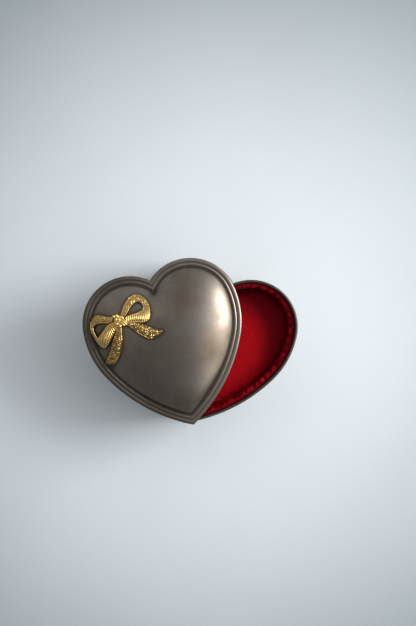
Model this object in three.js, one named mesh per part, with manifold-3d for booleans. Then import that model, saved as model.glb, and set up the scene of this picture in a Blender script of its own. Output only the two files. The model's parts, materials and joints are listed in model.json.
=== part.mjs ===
// A heart-shaped wind-up music box. The lid swings sideways on an upright pin near the heart's tip, a cast
// ribbon bow sits on its left lobe, and a comb-and-cylinder movement is screwed under a false floor.
// Millimetres, +Z up. The heart's axis runs along Y, with the notch at +Y and the tip at -Y.

import * as THREE from "three";
import { mergeVertices } from "three/addons/utils/BufferGeometryUtils.js";
import Module from "manifold-3d";

const wasm = await Module();
wasm.setup();

// ---------------------------------------------------------------- driving dimensions

// The heart's outline: three arcs a side. The two angles are those of the outward normal where arcs meet.
const LOBE_RADIUS = 28.6;
const LOBE_OFFSET = 18.8;
const SHOULDER_RADIUS = 50.5;
const SIDE_RADIUS = 98.7;
const LOBE_END = 8.8;
const SHOULDER_END = -27.2;

// Gaps.
const LID_GAP = 0.3;
const SOFT_GAP = 0.3;
const TURNING_GAP = 0.12;
const FIXED_GAP = 0.1;
const UNDER_FLOOR_GAP = 0.8;

// The box.
const WALL_HEIGHT = 44;
const LID_OVERHANG = 0.5;
const WALL_THICKNESS = 1;
const MOULDING_PROUD = 0.6;
const RIM_BEAD_HEIGHT = 2.6;
const FOOT_HEIGHT = 3;
const KEY_RECESS = 8;
const BOTTOM_THICKNESS = 1;
const CORNER_POST_RADIUS = 2.4;
const CORNER_POST_SUNK = 0.4;
const LOBE_POST_ANGLE = 60;
const SIDE_POST_ANGLE = -45;
const SMALL_SCREW_RADIUS = 0.9;
const SMALL_SCREW_LENGTH = 6;
const SCREW_HEAD_SHARE = 1.8;

// The lining.
const FLOOR_THICKNESS = 1.6;
const PAD_THICKNESS = 2.4;
const LINING_THICKNESS = 3.2;
const LINING_DROP = 2.2;

// The lid.
const FLANGE_WIDTH = 2.4;
const FLANGE_THICKNESS = 1.6;
const GROOVE_WIDTH = 0.5;
const GROOVE_DEPTH = 0.45;
const BEAD_WIDTH = 1.9;
const BEAD_RISE = 0.8;
const DOME_RISE = 11;
const LID_SHEET = 1.2;
const CROWN_Y = 50;
const CROWN_WIDTH = 36;
const CROWN_LENGTH = 38;
const LID_SWING = 36.3;

// The swivel.
const PIVOT_Y = 9.7;
const PIVOT_RADIUS = 1.5;
const POST_RADIUS = 3;
const POST_FOOT_RADIUS = 4;
const POST_FOOT_THICKNESS = 1.2;
const LID_BOSS_RADIUS = 2.5;
const LID_BOSS_HEIGHT = 3.9;
const LID_WEB_RADIUS = 6.2;
const LID_WEB_THICKNESS = 1.2;
const NUT_RADIUS = 2.9;
const NUT_THICKNESS = 2;
const WASHER_THICKNESS = 0.6;
const PEG_RADIUS = 1.25;
const PEG_DROP = 1.6;
const PEG_ANGLE = -50;
const PEG_CLEARANCE = 0.4;

// The bow: its knot stands on the left lobe.
const KNOT_X = -23.6;
const KNOT_Y = 71.9;
const TAIL_THICKNESS = 1.8;
const LOOP_THICKNESS = 3;
const BEAD_RADIUS = 1.25;

// The movement, about the top of its bedplate.
const MOVEMENT_Y = 49;
const BEDPLATE_THICKNESS = 1.6;
const BEDPLATE_SIDES = [-21.5, 28.4, -21.5, 25.2];
const BEDPLATE_CORNER = 3;
const BARREL_X = -10.3;
const CUP_RADIUS = 9.6;
const CUP_HEIGHT = 10;
const CUP_SHEET = 0.6;
const CUP_EAR_REACH = 11.2;
const CUP_EAR_RADIUS = 2;
const ARBOR_RADIUS = 1.6;
const ARBOR_HUB_RADIUS = 2.4;
const SPRING_STRIP = 0.35;
const SPRING_TURNS = 4;
const AXIS_HEIGHT = 7.4;
const DRUM_RADIUS = 6.2;
const DRUM_LEFT = 3.3;
const DRUM_LENGTH = 18.6;
const PIN_RISE = 0.45;
const PIN_RADIUS = 0.2;
const PINS_A_TRACK = 2;
const TUNE_STEP = 7;
const SPINDLE_RADIUS = 0.8;
const WHEEL_THICKNESS = 1;
const BEARING_THICKNESS = 1;
const TRACKS = 18;
const TOOTH_PITCH = 1.02;
const TOOTH_SLOT = 0.3;
const COMB_HEEL = 5.4;
const COMB_THICKNESS = 1.3;
const TOOTH_THICKNESS = 0.6;
const LONGEST_TOOTH = 9.6;
const SHORTEST_TOOTH = 7.2;
const COMB_TIP_GAP = 0.35;
const COMB_SCREW_RADIUS = 1;
const MOUNT_SCREW_RADIUS = 1.25;
const KEY_DROP = 6.8;
const KEY_SPAN = 18;
const KEY_BLADE = 1.8;
const KEY_HUB_RADIUS = 2.8;

// The wheels: teeth and module.
const CROWN_TEETH = 24;
const DRUM_PINION_TEETH = 8;
const DRIVE_MODULE = 0.9;
const CROWN_FACE = 1.6;
const DRUM_WHEEL_TEETH = 30;
const PINION_TEETH = 8;
const SECOND_WHEEL_TEETH = 24;
const TRAIN_MODULE = 0.45;
const WORM_WHEEL_TEETH = 18;
const WORM_MODULE = 0.45;
const WORM_PITCH_RADIUS = 1.35;
const WORM_TURNS = 3;
const ADDENDUM = 0.8;
const DEDENDUM = 1.2;
const TOOTH_ROOT_SHARE = 0.25;
const TOOTH_TIP_SHARE = 0.09;
const FAN_RADIUS = 3;
const FAN_HEIGHT = 2.4;
const FAN_BLADE = 0.8;

// How finely round shapes are faceted.
const LOBE_STEPS = 9;
const SHOULDER_STEPS = 3;
const SIDE_STEPS = 5;
const DOME_STEPS = 6;
const ROUND = 24;
const SMALL_ROUND = 12;

// ---------------------------------------------------------------- finishes

function finish(colour, roughness, metalness) {
  return new THREE.MeshStandardMaterial({ color: colour, roughness, metalness });
}

const PEWTER = finish(0x8f8983, 0.38, 1);
const GOLD = finish(0xc79a4a, 0.3, 1);
const SATIN = finish(0xb3121c, 0.55, 0);
const CARD = finish(0x6d5a48, 0.9, 0);
const ZINC = finish(0xa8a9a8, 0.45, 1);
const STEEL = finish(0xb9bcc0, 0.28, 1);
const BRASS = finish(0xc2a25c, 0.35, 1);
const PLASTIC = finish(0xe8e4da, 0.5, 0);

// ---------------------------------------------------------------- solids

function toSolid(geometry) {
  const bare = geometry.clone();
  bare.deleteAttribute("normal");
  bare.deleteAttribute("uv");
  const merged = mergeVertices(bare, 1e-4);
  const triVerts = new Uint32Array(merged.index.array);
  const vertProperties = merged.attributes.position.array;
  return new wasm.Manifold(new wasm.Mesh({ numProp: 3, vertProperties, triVerts }));
}

function toGeometry(solid) {
  const mesh = solid.getMesh();
  const geometry = new THREE.BufferGeometry();
  geometry.setAttribute("position", new THREE.BufferAttribute(mesh.vertProperties, 3));
  geometry.setIndex(new THREE.BufferAttribute(mesh.triVerts, 1));
  geometry.computeVertexNormals();
  return geometry;
}

function join(first, ...rest) {
  return toGeometry(rest.reduce((whole, next) => whole.add(toSolid(next)), toSolid(first)));
}

function cut(first, ...tools) {
  return toGeometry(tools.reduce((whole, tool) => whole.subtract(toSolid(tool)), toSolid(first)));
}

function common(first, second) {
  return toGeometry(toSolid(first).intersect(toSolid(second)));
}

const radians = THREE.MathUtils.degToRad;

// A cylinder standing on Z, or lying along X.
function upright(radius, bottom, top, sides = ROUND) {
  const geometry = new THREE.CylinderGeometry(radius, radius, top - bottom, sides);
  return geometry.rotateX(Math.PI / 2).translate(0, 0, (bottom + top) / 2);
}

function lying(radius, left, right, sides = ROUND) {
  const geometry = new THREE.CylinderGeometry(radius, radius, right - left, sides);
  return geometry.rotateZ(-Math.PI / 2).translate((left + right) / 2, 0, 0);
}

function block(x0, x1, y0, y1, z0, z1) {
  const geometry = new THREE.BoxGeometry(x1 - x0, y1 - y0, z1 - z0);
  return geometry.translate((x0 + x1) / 2, (y0 + y1) / 2, (z0 + z1) / 2);
}

// A flat outline made thick, lying in XY, or standing in YZ with its thickness along X.
function flat(shape, bottom, top, curveSegments = SMALL_ROUND / 2) {
  const options = { depth: top - bottom, bevelEnabled: false, curveSegments };
  return new THREE.ExtrudeGeometry(shape, options).translate(0, 0, bottom);
}

function standing(shape, left, right, curveSegments = SMALL_ROUND / 2) {
  const turn = new THREE.Matrix4().makeBasis(
    new THREE.Vector3(0, 1, 0),
    new THREE.Vector3(0, 0, 1),
    new THREE.Vector3(1, 0, 0),
  );
  return flat(shape, left, right, curveSegments).applyMatrix4(turn);
}

// A skin over rings that hold the same number of points. Joined last to first, or closed at both ends.
function skin(rings, joined) {
  const size = rings[0].length;
  const points = rings.flat();
  const triangles = [];
  const spans = joined ? rings.length : rings.length - 1;
  for (let ring = 0; ring < spans; ring += 1) {
    const here = ring * size;
    const next = ((ring + 1) % rings.length) * size;
    for (let i = 0; i < size; i += 1) {
      const j = (i + 1) % size;
      triangles.push([here + i, here + j, next + j], [here + i, next + j, next + i]);
    }
  }
  const last = (rings.length - 1) * size;
  for (let i = 1; i < size - 1 && !joined; i += 1) {
    triangles.push([0, i + 1, i], [last, last + i, last + i + 1]);
  }
  const geometry = new THREE.BufferGeometry().setFromPoints(points);
  geometry.setIndex(triangles.flat());
  return facingOut(mergeVertices(geometry, 1e-4));
}

// Drops triangles that have shrunk to a line, and turns the skin so that it faces out.
function facingOut(geometry) {
  const index = geometry.index.array;
  const kept = [];
  for (let i = 0; i < index.length; i += 3) {
    const [a, b, c] = [index[i], index[i + 1], index[i + 2]];
    if (a !== b && b !== c && c !== a) kept.push([a, b, c]);
  }
  geometry.setIndex(kept.flat());
  if (toSolid(geometry).volume() < 0) geometry.setIndex(kept.map(([a, b, c]) => [a, c, b]).flat());
  return geometry;
}

// ---------------------------------------------------------------- the heart

// The right half's arcs from notch to tip, moved inwards by an inset. The outer heart's tip is at y = 0.
function heartArcs(inset) {
  const lobe = { x: LOBE_OFFSET, y: 0, radius: LOBE_RADIUS };
  const shoulder = arcAfter(lobe, SHOULDER_RADIUS, LOBE_END);
  const side = arcAfter(shoulder, SIDE_RADIUS, SHOULDER_END);
  const outerTip = -Math.acos(-side.x / SIDE_RADIUS);
  const rise = -(side.y + SIDE_RADIUS * Math.sin(outerTip));
  const notch = Math.PI - Math.acos(lobe.x / (lobe.radius - inset));
  const tip = -Math.acos(-side.x / (side.radius - inset));
  const spans = [
    [lobe, notch, radians(LOBE_END), LOBE_STEPS],
    [shoulder, radians(LOBE_END), radians(SHOULDER_END), SHOULDER_STEPS],
    [side, radians(SHOULDER_END), tip, SIDE_STEPS],
  ];
  return spans.map(([arc, from, to, steps]) => {
    return { x: arc.x, y: arc.y + rise, radius: arc.radius - inset, from, to, steps };
  });
}

function arcAfter(arc, radius, angle) {
  const away = arc.radius - radius;
  const x = arc.x + away * Math.cos(radians(angle));
  const y = arc.y + away * Math.sin(radians(angle));
  return { x, y, radius };
}

function onArc(arc, angle) {
  return new THREE.Vector2(arc.x + arc.radius * Math.cos(angle), arc.y + arc.radius * Math.sin(angle));
}

// The whole outline, anticlockwise from the notch, always with the same number of points.
function heart(inset) {
  const right = [];
  for (const arc of heartArcs(inset)) {
    for (let i = 0; i < arc.steps; i += 1) {
      right.push(onArc(arc, arc.from + ((arc.to - arc.from) * i) / arc.steps));
    }
  }
  const sideArc = heartArcs(inset)[2];
  const tip = onArc(sideArc, sideArc.to);
  const left = right.map((point) => new THREE.Vector2(-point.x, point.y));
  return [...left, tip, ...right.slice(1).reverse()];
}

// The point of the outline whose outward normal has this angle.
function heartPoint(inset, degrees) {
  const angle = radians(degrees);
  const arc = heartArcs(inset).find((candidate) => angle <= candidate.from && angle >= candidate.to);
  return onArc(arc, angle);
}

// A ring swept round the heart. Each point of its section is an inset and a height.
function heartRing(section) {
  const rings = section.map(([inset, z]) => heart(inset).map((p) => new THREE.Vector3(p.x, p.y, z)));
  return skin(rings, true);
}

function heartPlate(inset, bottom, top, holes) {
  const shape = new THREE.Shape(heart(inset));
  shape.holes = holes;
  return flat(shape, bottom, top);
}

function roundHole(x, y, radius) {
  return new THREE.Path().absarc(x, y, radius, 0, 2 * Math.PI, true);
}

// ---------------------------------------------------------------- the dome

const DOME_INSET = FLANGE_WIDTH + GROOVE_WIDTH + BEAD_WIDTH + GROOVE_WIDTH;

// A ring of the dome. Pull 0 is the heart's edge and pull 1 the crown, and the heart eases into an oval
// on the way up, so that the notch fades out before the crown.
function domeRing(inset, pull, z) {
  return heart(inset).map((point) => {
    const x = point.x;
    const y = point.y - CROWN_Y;
    const reach = Math.hypot(x, y);
    const oval = 1 / Math.hypot(x / reach / CROWN_WIDTH, y / reach / CROWN_LENGTH);
    const scale = ((1 - pull) * THREE.MathUtils.lerp(reach, oval, pull)) / reach;
    return new THREE.Vector3(x * scale, CROWN_Y + y * scale, z);
  });
}

// Steep at the edge and nearly flat over the crown.
function domeSwell(pull) {
  return Math.sqrt(1 - (1 - pull) ** 3);
}

function domeRings(inset, edge, rise) {
  const rings = [];
  for (let i = 0; i <= DOME_STEPS; i += 1) {
    const pull = (i / DOME_STEPS) ** 2;
    rings.push(domeRing(inset, pull, edge + rise * domeSwell(pull)));
  }
  return rings;
}

// ---------------------------------------------------------------- the box

const RIM_INSET = LID_OVERHANG;
const WALL_INSET = RIM_INSET + MOULDING_PROUD;
const CAVITY_INSET = WALL_INSET + WALL_THICKNESS;
const LINING_INSET = CAVITY_INSET + SOFT_GAP;
const BEDPLATE_Z = KEY_RECESS + BOTTOM_THICKNESS + BEDPLATE_THICKNESS;
const CORNER_POST_INSET = CAVITY_INSET + CORNER_POST_RADIUS - CORNER_POST_SUNK;
const MIRRORS = [1, -1];

function cornerPosts() {
  return MIRRORS.flatMap((side) =>
    [LOBE_POST_ANGLE, SIDE_POST_ANGLE].map((angle) => {
      const point = heartPoint(CORNER_POST_INSET, angle);
      return new THREE.Vector2(side * point.x, point.y);
    }),
  );
}

function boxWall(plateTop, floorBottom) {
  const top = WALL_HEIGHT;
  const half = RIM_BEAD_HEIGHT / 2;
  const round = MOULDING_PROUD / 3;
  const ring = heartRing([
    [RIM_INSET, 0],
    [RIM_INSET, FOOT_HEIGHT - half],
    [RIM_INSET + round, FOOT_HEIGHT],
    [WALL_INSET, FOOT_HEIGHT + half],
    [WALL_INSET, top - RIM_BEAD_HEIGHT - round],
    [RIM_INSET + round, top - RIM_BEAD_HEIGHT + round],
    [RIM_INSET, top - half],
    [RIM_INSET + round, top - round],
    [RIM_INSET + 2 * round, top],
    [CAVITY_INSET - round, top],
    [CAVITY_INSET, top - round],
    [CAVITY_INSET, 0],
  ]);
  const posts = cornerPosts().map(({ x, y }) =>
    upright(CORNER_POST_RADIUS, plateTop, floorBottom, SMALL_ROUND).translate(x, y, 0),
  );
  const holes = cornerPosts().map(({ x, y }) => {
    const radius = SMALL_SCREW_RADIUS + FIXED_GAP;
    return upright(radius, plateTop - 1, plateTop + SMALL_SCREW_LENGTH, SMALL_ROUND).translate(x, y, 0);
  });
  return cut(join(ring, ...posts), ...holes);
}

// A slotted screw on Z with the underside of its head at z = 0 and its shank going up.
function screw(radius, length) {
  const headRadius = SCREW_HEAD_SHARE * radius;
  const shank = upright(radius, -radius / 2, length, SMALL_ROUND / 2);
  const body = join(shank, upright(headRadius, -radius, 0, SMALL_ROUND));
  const slot = headRadius / 5;
  return cut(body, block(-headRadius, headRadius, -slot / 2, slot / 2, -2 * radius, -radius / 2));
}

// ---------------------------------------------------------------- the lid

function lidShell() {
  const groove = FLANGE_THICKNESS - GROOVE_DEPTH;
  const beadStart = FLANGE_WIDTH + GROOVE_WIDTH;
  const edge = FLANGE_THICKNESS / 4;
  const shoulder = FLANGE_THICKNESS - GROOVE_DEPTH / 4;
  const section = [
    [edge, 0],
    [0, edge],
    [0, groove],
    [FLANGE_WIDTH / 4, shoulder],
    [FLANGE_WIDTH / 2, FLANGE_THICKNESS],
    [(FLANGE_WIDTH * 3) / 4, shoulder],
    [FLANGE_WIDTH, groove],
    [beadStart, groove],
    [beadStart + BEAD_WIDTH / 3, groove + BEAD_RISE],
    [beadStart + (BEAD_WIDTH * 2) / 3, groove + BEAD_RISE],
    [beadStart + BEAD_WIDTH, groove],
  ];
  const rim = section.map(([inset, z]) => heart(inset).map((p) => new THREE.Vector3(p.x, p.y, z)));
  const over = domeRings(DOME_INSET, groove, DOME_RISE + FLANGE_THICKNESS - groove);
  const under = domeRings(DOME_INSET + LID_SHEET, 0, DOME_RISE + FLANGE_THICKNESS - LID_SHEET);
  const shell = skin([...under.reverse(), ...rim, ...over], false);
  const web = upright(LID_WEB_RADIUS, 0, LID_WEB_THICKNESS, ROUND);
  const boss = upright(LID_BOSS_RADIUS, 0, LID_BOSS_HEIGHT, SMALL_ROUND);
  const hole = upright(PIVOT_RADIUS + FIXED_GAP, -1, LID_BOSS_HEIGHT - LID_WEB_THICKNESS / 2, SMALL_ROUND);
  const fitting = cut(join(web, boss), hole).translate(0, PIVOT_Y, 0);
  return cut(join(shell, fitting), hole.clone().translate(0, PIVOT_Y, 0));
}

// The space just over the dome, from a small gap to a height above it.
function overDome(height) {
  const base = FLANGE_THICKNESS - GROOVE_DEPTH + LID_GAP;
  const rise = DOME_RISE + GROOVE_DEPTH;
  const lower = domeRings(DOME_INSET, base, rise);
  const upper = domeRings(DOME_INSET, base + height, rise);
  return skin([...lower.reverse(), ...upper], false);
}

// How far the outline lies from the crown in a direction.
function reachOf(outline, dx, dy) {
  const reaches = outline.map((from, i) => {
    const to = outline[(i + 1) % outline.length];
    const along = new THREE.Vector2().subVectors(to, from);
    const start = new THREE.Vector2(from.x, from.y - CROWN_Y);
    const turn = dx * along.y - dy * along.x;
    const share = (start.x * dy - start.y * dx) / turn;
    const reach = (start.x * along.y - start.y * along.x) / turn;
    return share >= 0 && share <= 1 && reach > 0 ? reach : 0;
  });
  return Math.max(...reaches);
}

function domeHeight(x, y) {
  const distance = Math.hypot(x, y - CROWN_Y);
  const [dx, dy] = [x / distance, (y - CROWN_Y) / distance];
  const edge = reachOf(heart(DOME_INSET), dx, dy);
  const oval = 1 / Math.hypot(dx / CROWN_WIDTH, dy / CROWN_LENGTH);
  let [low, high] = [0, 1];
  while (high - low > 1e-4) {
    const pull = (low + high) / 2;
    const outside = (1 - pull) * THREE.MathUtils.lerp(edge, oval, pull) < distance;
    [low, high] = outside ? [low, pull] : [pull, high];
  }
  return FLANGE_THICKNESS - GROOVE_DEPTH + (DOME_RISE + GROOVE_DEPTH) * domeSwell(low);
}

// ---------------------------------------------------------------- the bow

// A closed outline about the knot: a corner to start from, then runs that end at a corner each, the last
// one back at the start. A run of one point is straight, and a longer one is a smooth curve. The points
// come out anticlockwise.
function traced([start, ...runs]) {
  const place = ([x, y]) => new THREE.Vector2(KNOT_X + x, KNOT_Y + y);
  const path = new THREE.Path().moveTo(place(start).x, place(start).y);
  for (const run of runs) path.splineThru(run.map(place));
  const points = path.getPoints(2).slice(0, -1);
  return THREE.ShapeUtils.isClockWise(points) ? points.reverse() : points;
}

function ribbonPiece(outline, opening) {
  const shape = new THREE.Shape(traced(outline));
  if (opening) shape.holes.push(new THREE.Path(traced(opening)));
  return flat(shape, 0, 2 * DOME_RISE);
}

function rightLoop() {
  const outline = [
    [0.5, 1.5],
    [[3, 5.9], [7.2, 10.9], [12.7, 13], [17.4, 9.4], [19, 1], [17.4, -3.5], [14.5, -4.8]],
    [[8, -3], [1.5, -1.5]],
    [[0.5, 1.5]],
  ];
  const opening = [
    [5.6, 2.4],
    [[8.6, 5.6], [12.8, 7.5], [15.7, 5.4], [14, 2.6], [5.6, 2.4]],
  ];
  return ribbonPiece(outline, opening);
}

function leftLoop() {
  const outline = [
    [-0.5, 1.5],
    [[-5, 4.2], [-12.4, 7.6], [-17.2, 5.1], [-18.5, -2], [-16.5, -9], [-14, -12.6]],
    [[-10.7, -11.4], [-6.6, -6.9], [-0.5, -2]],
    [[-0.5, 1.5]],
  ];
  const opening = [
    [-8.3, 0.7],
    [[-11.4, -2.7], [-15.2, -5.4]],
    [[-16.7, -1.5], [-14.6, 2.1], [-8.3, 0.7]],
  ];
  return ribbonPiece(outline, opening);
}

function rightTail() {
  return ribbonPiece([
    [1, -0.5],
    [[4.6, -3.8], [8.6, -11], [14.9, -15.1]],
    [[18.8, -14.4], [22.4, -12.9]],
    [[16.7, -9.2], [10.5, -3.6], [1, -0.5]],
  ]);
}

function lowerTail() {
  return ribbonPiece([
    [0.5, -1],
    [[-1.4, -7.5], [-4.2, -16.2], [-9, -22]],
    [[-13, -22.6], [-16.9, -22.1]],
    [[-11.2, -15.9], [-7.3, -8.5], [-3.4, -1]],
    [[0.5, -1]],
  ]);
}

// The knot: a rounded barrel across the ribbon with two rows of three beads on it.
function knot() {
  const height = domeHeight(KNOT_X, KNOT_Y) + LID_GAP + LOOP_THICKNESS / 2;
  const barrel = new THREE.SphereGeometry(1, ROUND / 2, SMALL_ROUND / 2);
  barrel.rotateX(Math.PI / 2).scale(4.6, 3.6, 2.6).rotateZ(radians(-40)).translate(0.6, 0, 0);
  const beads = [2, 0, -2].flatMap((y) =>
    [0, 1].map((column) => {
      const bead = new THREE.SphereGeometry(BEAD_RADIUS, SMALL_ROUND / 2, SMALL_ROUND / 3);
      return bead.translate(-2.6 + 2 * column, y + 0.8 - column, 2.6 - BEAD_RADIUS / 2);
    }),
  );
  return join(barrel, ...beads).translate(KNOT_X, KNOT_Y, height);
}

function ribbonBow() {
  const loops = common(join(rightLoop(), leftLoop()), overDome(LOOP_THICKNESS));
  const tails = common(join(rightTail(), lowerTail()), overDome(TAIL_THICKNESS));
  return join(loops, tails, common(knot(), overDome(DOME_RISE / 2)));
}

// ---------------------------------------------------------------- gears

function toothedShape(teeth, module, phase) {
  const pitch = (2 * Math.PI) / teeth;
  const root = (teeth / 2 - DEDENDUM) * module;
  const tip = (teeth / 2 + ADDENDUM) * module;
  const corners = [
    [root, -TOOTH_ROOT_SHARE],
    [tip, -TOOTH_TIP_SHARE],
    [tip, TOOTH_TIP_SHARE],
    [root, TOOTH_ROOT_SHARE],
  ];
  const points = [];
  for (let tooth = 0; tooth < teeth; tooth += 1) {
    for (const [radius, share] of corners) {
      const angle = phase + (tooth + share) * pitch;
      points.push(new THREE.Vector2(radius * Math.cos(angle), radius * Math.sin(angle)));
    }
  }
  return new THREE.Shape(points);
}

// The phase of a pinion that lies in a direction from a wheel with a tooth pointing at it: a gap faces it.
function meshPhase(direction) {
  return direction + Math.PI + Math.PI / PINION_TEETH;
}

function wheelOnSpindle(teeth, module, phase, left, thickness = WHEEL_THICKNESS) {
  const shape = toothedShape(teeth, module, phase);
  shape.holes.push(roundHole(0, 0, SPINDLE_RADIUS + FIXED_GAP));
  return standing(shape, left, left + thickness);
}

// ---------------------------------------------------------------- the movement

const CROWN_RADIUS = (CROWN_TEETH * DRIVE_MODULE) / 2;
const DRUM_PINION_RADIUS = (DRUM_PINION_TEETH * DRIVE_MODULE) / 2;
const DRUM_PINION_LEFT = BARREL_X + CROWN_RADIUS - CROWN_FACE / 2;
const CROWN_PITCH_Z = AXIS_HEIGHT + DRUM_PINION_RADIUS;
const CROWN_DISC_Z = CROWN_PITCH_Z + DEDENDUM * DRIVE_MODULE;
const DRUM_RIGHT = DRUM_LEFT + DRUM_LENGTH;
const LEFT_BEARING = DRUM_LEFT - TURNING_GAP * 3 - BEARING_THICKNESS;
const RIGHT_BEARING = DRUM_RIGHT + TURNING_GAP * 3;
const DRUM_WHEEL_X = RIGHT_BEARING + BEARING_THICKNESS + TURNING_GAP * 3;
const SECOND_WHEEL_X = DRUM_WHEEL_X + WHEEL_THICKNESS + TURNING_GAP * 3;
const WORM_WHEEL_X = DRUM_WHEEL_X;
const WORM_X = WORM_WHEEL_X + WHEEL_THICKNESS / 2;

// Where each spindle of the train crosses YZ, seen from the drum's axis.
const SECOND_DIRECTION = radians(8);
const WORM_WHEEL_DIRECTION = radians(-25);
const DRUM_AXIS = new THREE.Vector2(0, AXIS_HEIGHT);
const FIRST_SPACING = ((DRUM_WHEEL_TEETH + PINION_TEETH) * TRAIN_MODULE) / 2;
const SECOND_SPACING = ((SECOND_WHEEL_TEETH + PINION_TEETH) * TRAIN_MODULE) / 2;
const SECOND_AXIS = along(DRUM_AXIS, SECOND_DIRECTION, FIRST_SPACING);
const WORM_WHEEL_AXIS = along(SECOND_AXIS, WORM_WHEEL_DIRECTION, SECOND_SPACING);
const WORM_WHEEL_RADIUS = (WORM_WHEEL_TEETH * WORM_MODULE) / 2;
const WORM_ROOT_RADIUS = WORM_PITCH_RADIUS - DEDENDUM * WORM_MODULE;
const WORM_Y = WORM_WHEEL_AXIS.x + WORM_WHEEL_RADIUS + WORM_PITCH_RADIUS;

function along(from, direction, distance) {
  const step = new THREE.Vector2(distance * Math.cos(direction), distance * Math.sin(direction));
  return step.add(from);
}

const DRUM_WHEEL_PHASE = SECOND_DIRECTION;
const SECOND_PHASE = meshPhase(SECOND_DIRECTION);
const SECOND_WHEEL_PHASE = WORM_WHEEL_DIRECTION;
const WORM_PINION_PHASE = meshPhase(WORM_WHEEL_DIRECTION);

const MOUNT_SCREWS = [
  [-17.5, -17],
  [-17.5, 17],
  [8, 15],
];
const MOUNT_SCREW_START = -BEDPLATE_THICKNESS - BOTTOM_THICKNESS;
const CUP_SCREW_ANGLES = [115, -115];
const COMB_BACK = -DRUM_RADIUS - PIN_RISE - COMB_TIP_GAP - LONGEST_TOOTH - COMB_HEEL;
const COMB_TIP = -DRUM_RADIUS - PIN_RISE - COMB_TIP_GAP;
const COMB_LEFT = DRUM_LEFT + (DRUM_LENGTH - TRACKS * TOOTH_PITCH) / 2;
const COMB_RIGHT = COMB_LEFT + TRACKS * TOOTH_PITCH;
const COMB_TOP = AXIS_HEIGHT + TOOTH_THICKNESS;
const COMB_UNDER = COMB_TOP - COMB_THICKNESS;
const COMB_SCREWS = [COMB_LEFT + TOOTH_PITCH * 4, COMB_RIGHT - TOOTH_PITCH * 4];

function roundedRectangle(left, right, front, back, corner) {
  const shape = new THREE.Shape();
  shape.absarc(right - corner, front + corner, corner, -Math.PI / 2, 0);
  shape.absarc(right - corner, back - corner, corner, 0, Math.PI / 2);
  shape.absarc(left + corner, back - corner, corner, Math.PI / 2, Math.PI);
  shape.absarc(left + corner, front + corner, corner, Math.PI, Math.PI * 1.5);
  return shape;
}

// An upright plate in YZ with a round top about a spindle.
function bearingPlate(axis, left, foot) {
  const radius = SPINDLE_RADIUS * 2.6;
  const shape = new THREE.Shape();
  shape.moveTo(axis.x - radius * 1.4, foot);
  shape.lineTo(axis.x + radius * 1.4, foot);
  shape.absarc(axis.x, axis.y, radius, 0, Math.PI);
  shape.holes.push(roundHole(axis.x, axis.y, SPINDLE_RADIUS + TURNING_GAP));
  return standing(shape, left, left + BEARING_THICKNESS);
}

function cupEar(angle, radius) {
  const x = BARREL_X + CUP_EAR_REACH * Math.cos(radians(angle));
  const y = CUP_EAR_REACH * Math.sin(radians(angle));
  return (bottom, top) => upright(radius, bottom, top, SMALL_ROUND).translate(x, y, 0);
}

function bedplate() {
  const [left, right, front, back] = BEDPLATE_SIDES;
  const outline = roundedRectangle(left, right, front, back, BEDPLATE_CORNER);
  outline.holes.push(roundHole(BARREL_X, 0, ARBOR_RADIUS + TURNING_GAP));
  for (const [x, y] of MOUNT_SCREWS) outline.holes.push(roundHole(x, y, MOUNT_SCREW_RADIUS + FIXED_GAP));
  const plate = flat(outline, -BEDPLATE_THICKNESS, 0);
  const foot = -BEDPLATE_THICKNESS / 2;
  const pad = block(COMB_LEFT, COMB_RIGHT, COMB_BACK, COMB_BACK + COMB_HEEL, foot, COMB_UNDER);
  const bearings = [LEFT_BEARING, RIGHT_BEARING].map((left) => bearingPlate(DRUM_AXIS, left, foot));
  const holes = COMB_SCREWS.map((x) => {
    const bore = upright(COMB_SCREW_RADIUS + FIXED_GAP, 1, COMB_TOP, SMALL_ROUND);
    return bore.translate(x, COMB_BACK + COMB_HEEL / 2, 0);
  });
  const earHoles = CUP_SCREW_ANGLES.map((angle) =>
    cupEar(angle, SMALL_SCREW_RADIUS + FIXED_GAP)(-2 * BEDPLATE_THICKNESS, BEDPLATE_THICKNESS),
  );
  return cut(join(plate, pad, ...bearings), ...holes, ...earHoles);
}

function springCup() {
  const tin = cut(
    upright(CUP_RADIUS, 0, CUP_HEIGHT),
    upright(CUP_RADIUS - CUP_SHEET, -1, CUP_HEIGHT - CUP_SHEET),
    upright(ARBOR_RADIUS + TURNING_GAP, 0, CUP_HEIGHT + 1, SMALL_ROUND),
  ).translate(BARREL_X, 0, 0);
  const ears = CUP_SCREW_ANGLES.map((angle) => {
    const ear = cupEar(angle, CUP_EAR_RADIUS)(0, CUP_SHEET);
    return cut(ear, upright(CUP_RADIUS - CUP_SHEET / 2, -1, 1).translate(BARREL_X, 0, 0));
  });
  const holes = CUP_SCREW_ANGLES.map((angle) => cupEar(angle, SMALL_SCREW_RADIUS + FIXED_GAP)(-1, 1));
  return cut(join(tin, ...ears), ...holes);
}

// A strip wound from the arbor's hub out to the cup's wall.
function mainspring() {
  const inner = ARBOR_HUB_RADIUS + SOFT_GAP;
  const outer = CUP_RADIUS - CUP_SHEET - SOFT_GAP - SPRING_STRIP;
  const steps = SPRING_TURNS * SMALL_ROUND;
  const turn = (offset) =>
    Array.from({ length: steps + 1 }, (_, i) => {
      const angle = (2 * Math.PI * i) / SMALL_ROUND;
      const radius = inner + ((outer - inner) * i) / steps + offset;
      return new THREE.Vector2(BARREL_X + radius * Math.cos(angle), radius * Math.sin(angle));
    });
  const shape = new THREE.Shape([...turn(SPRING_STRIP), ...turn(0).reverse()]);
  return flat(shape, SOFT_GAP, CUP_HEIGHT - CUP_SHEET - SOFT_GAP);
}

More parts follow.
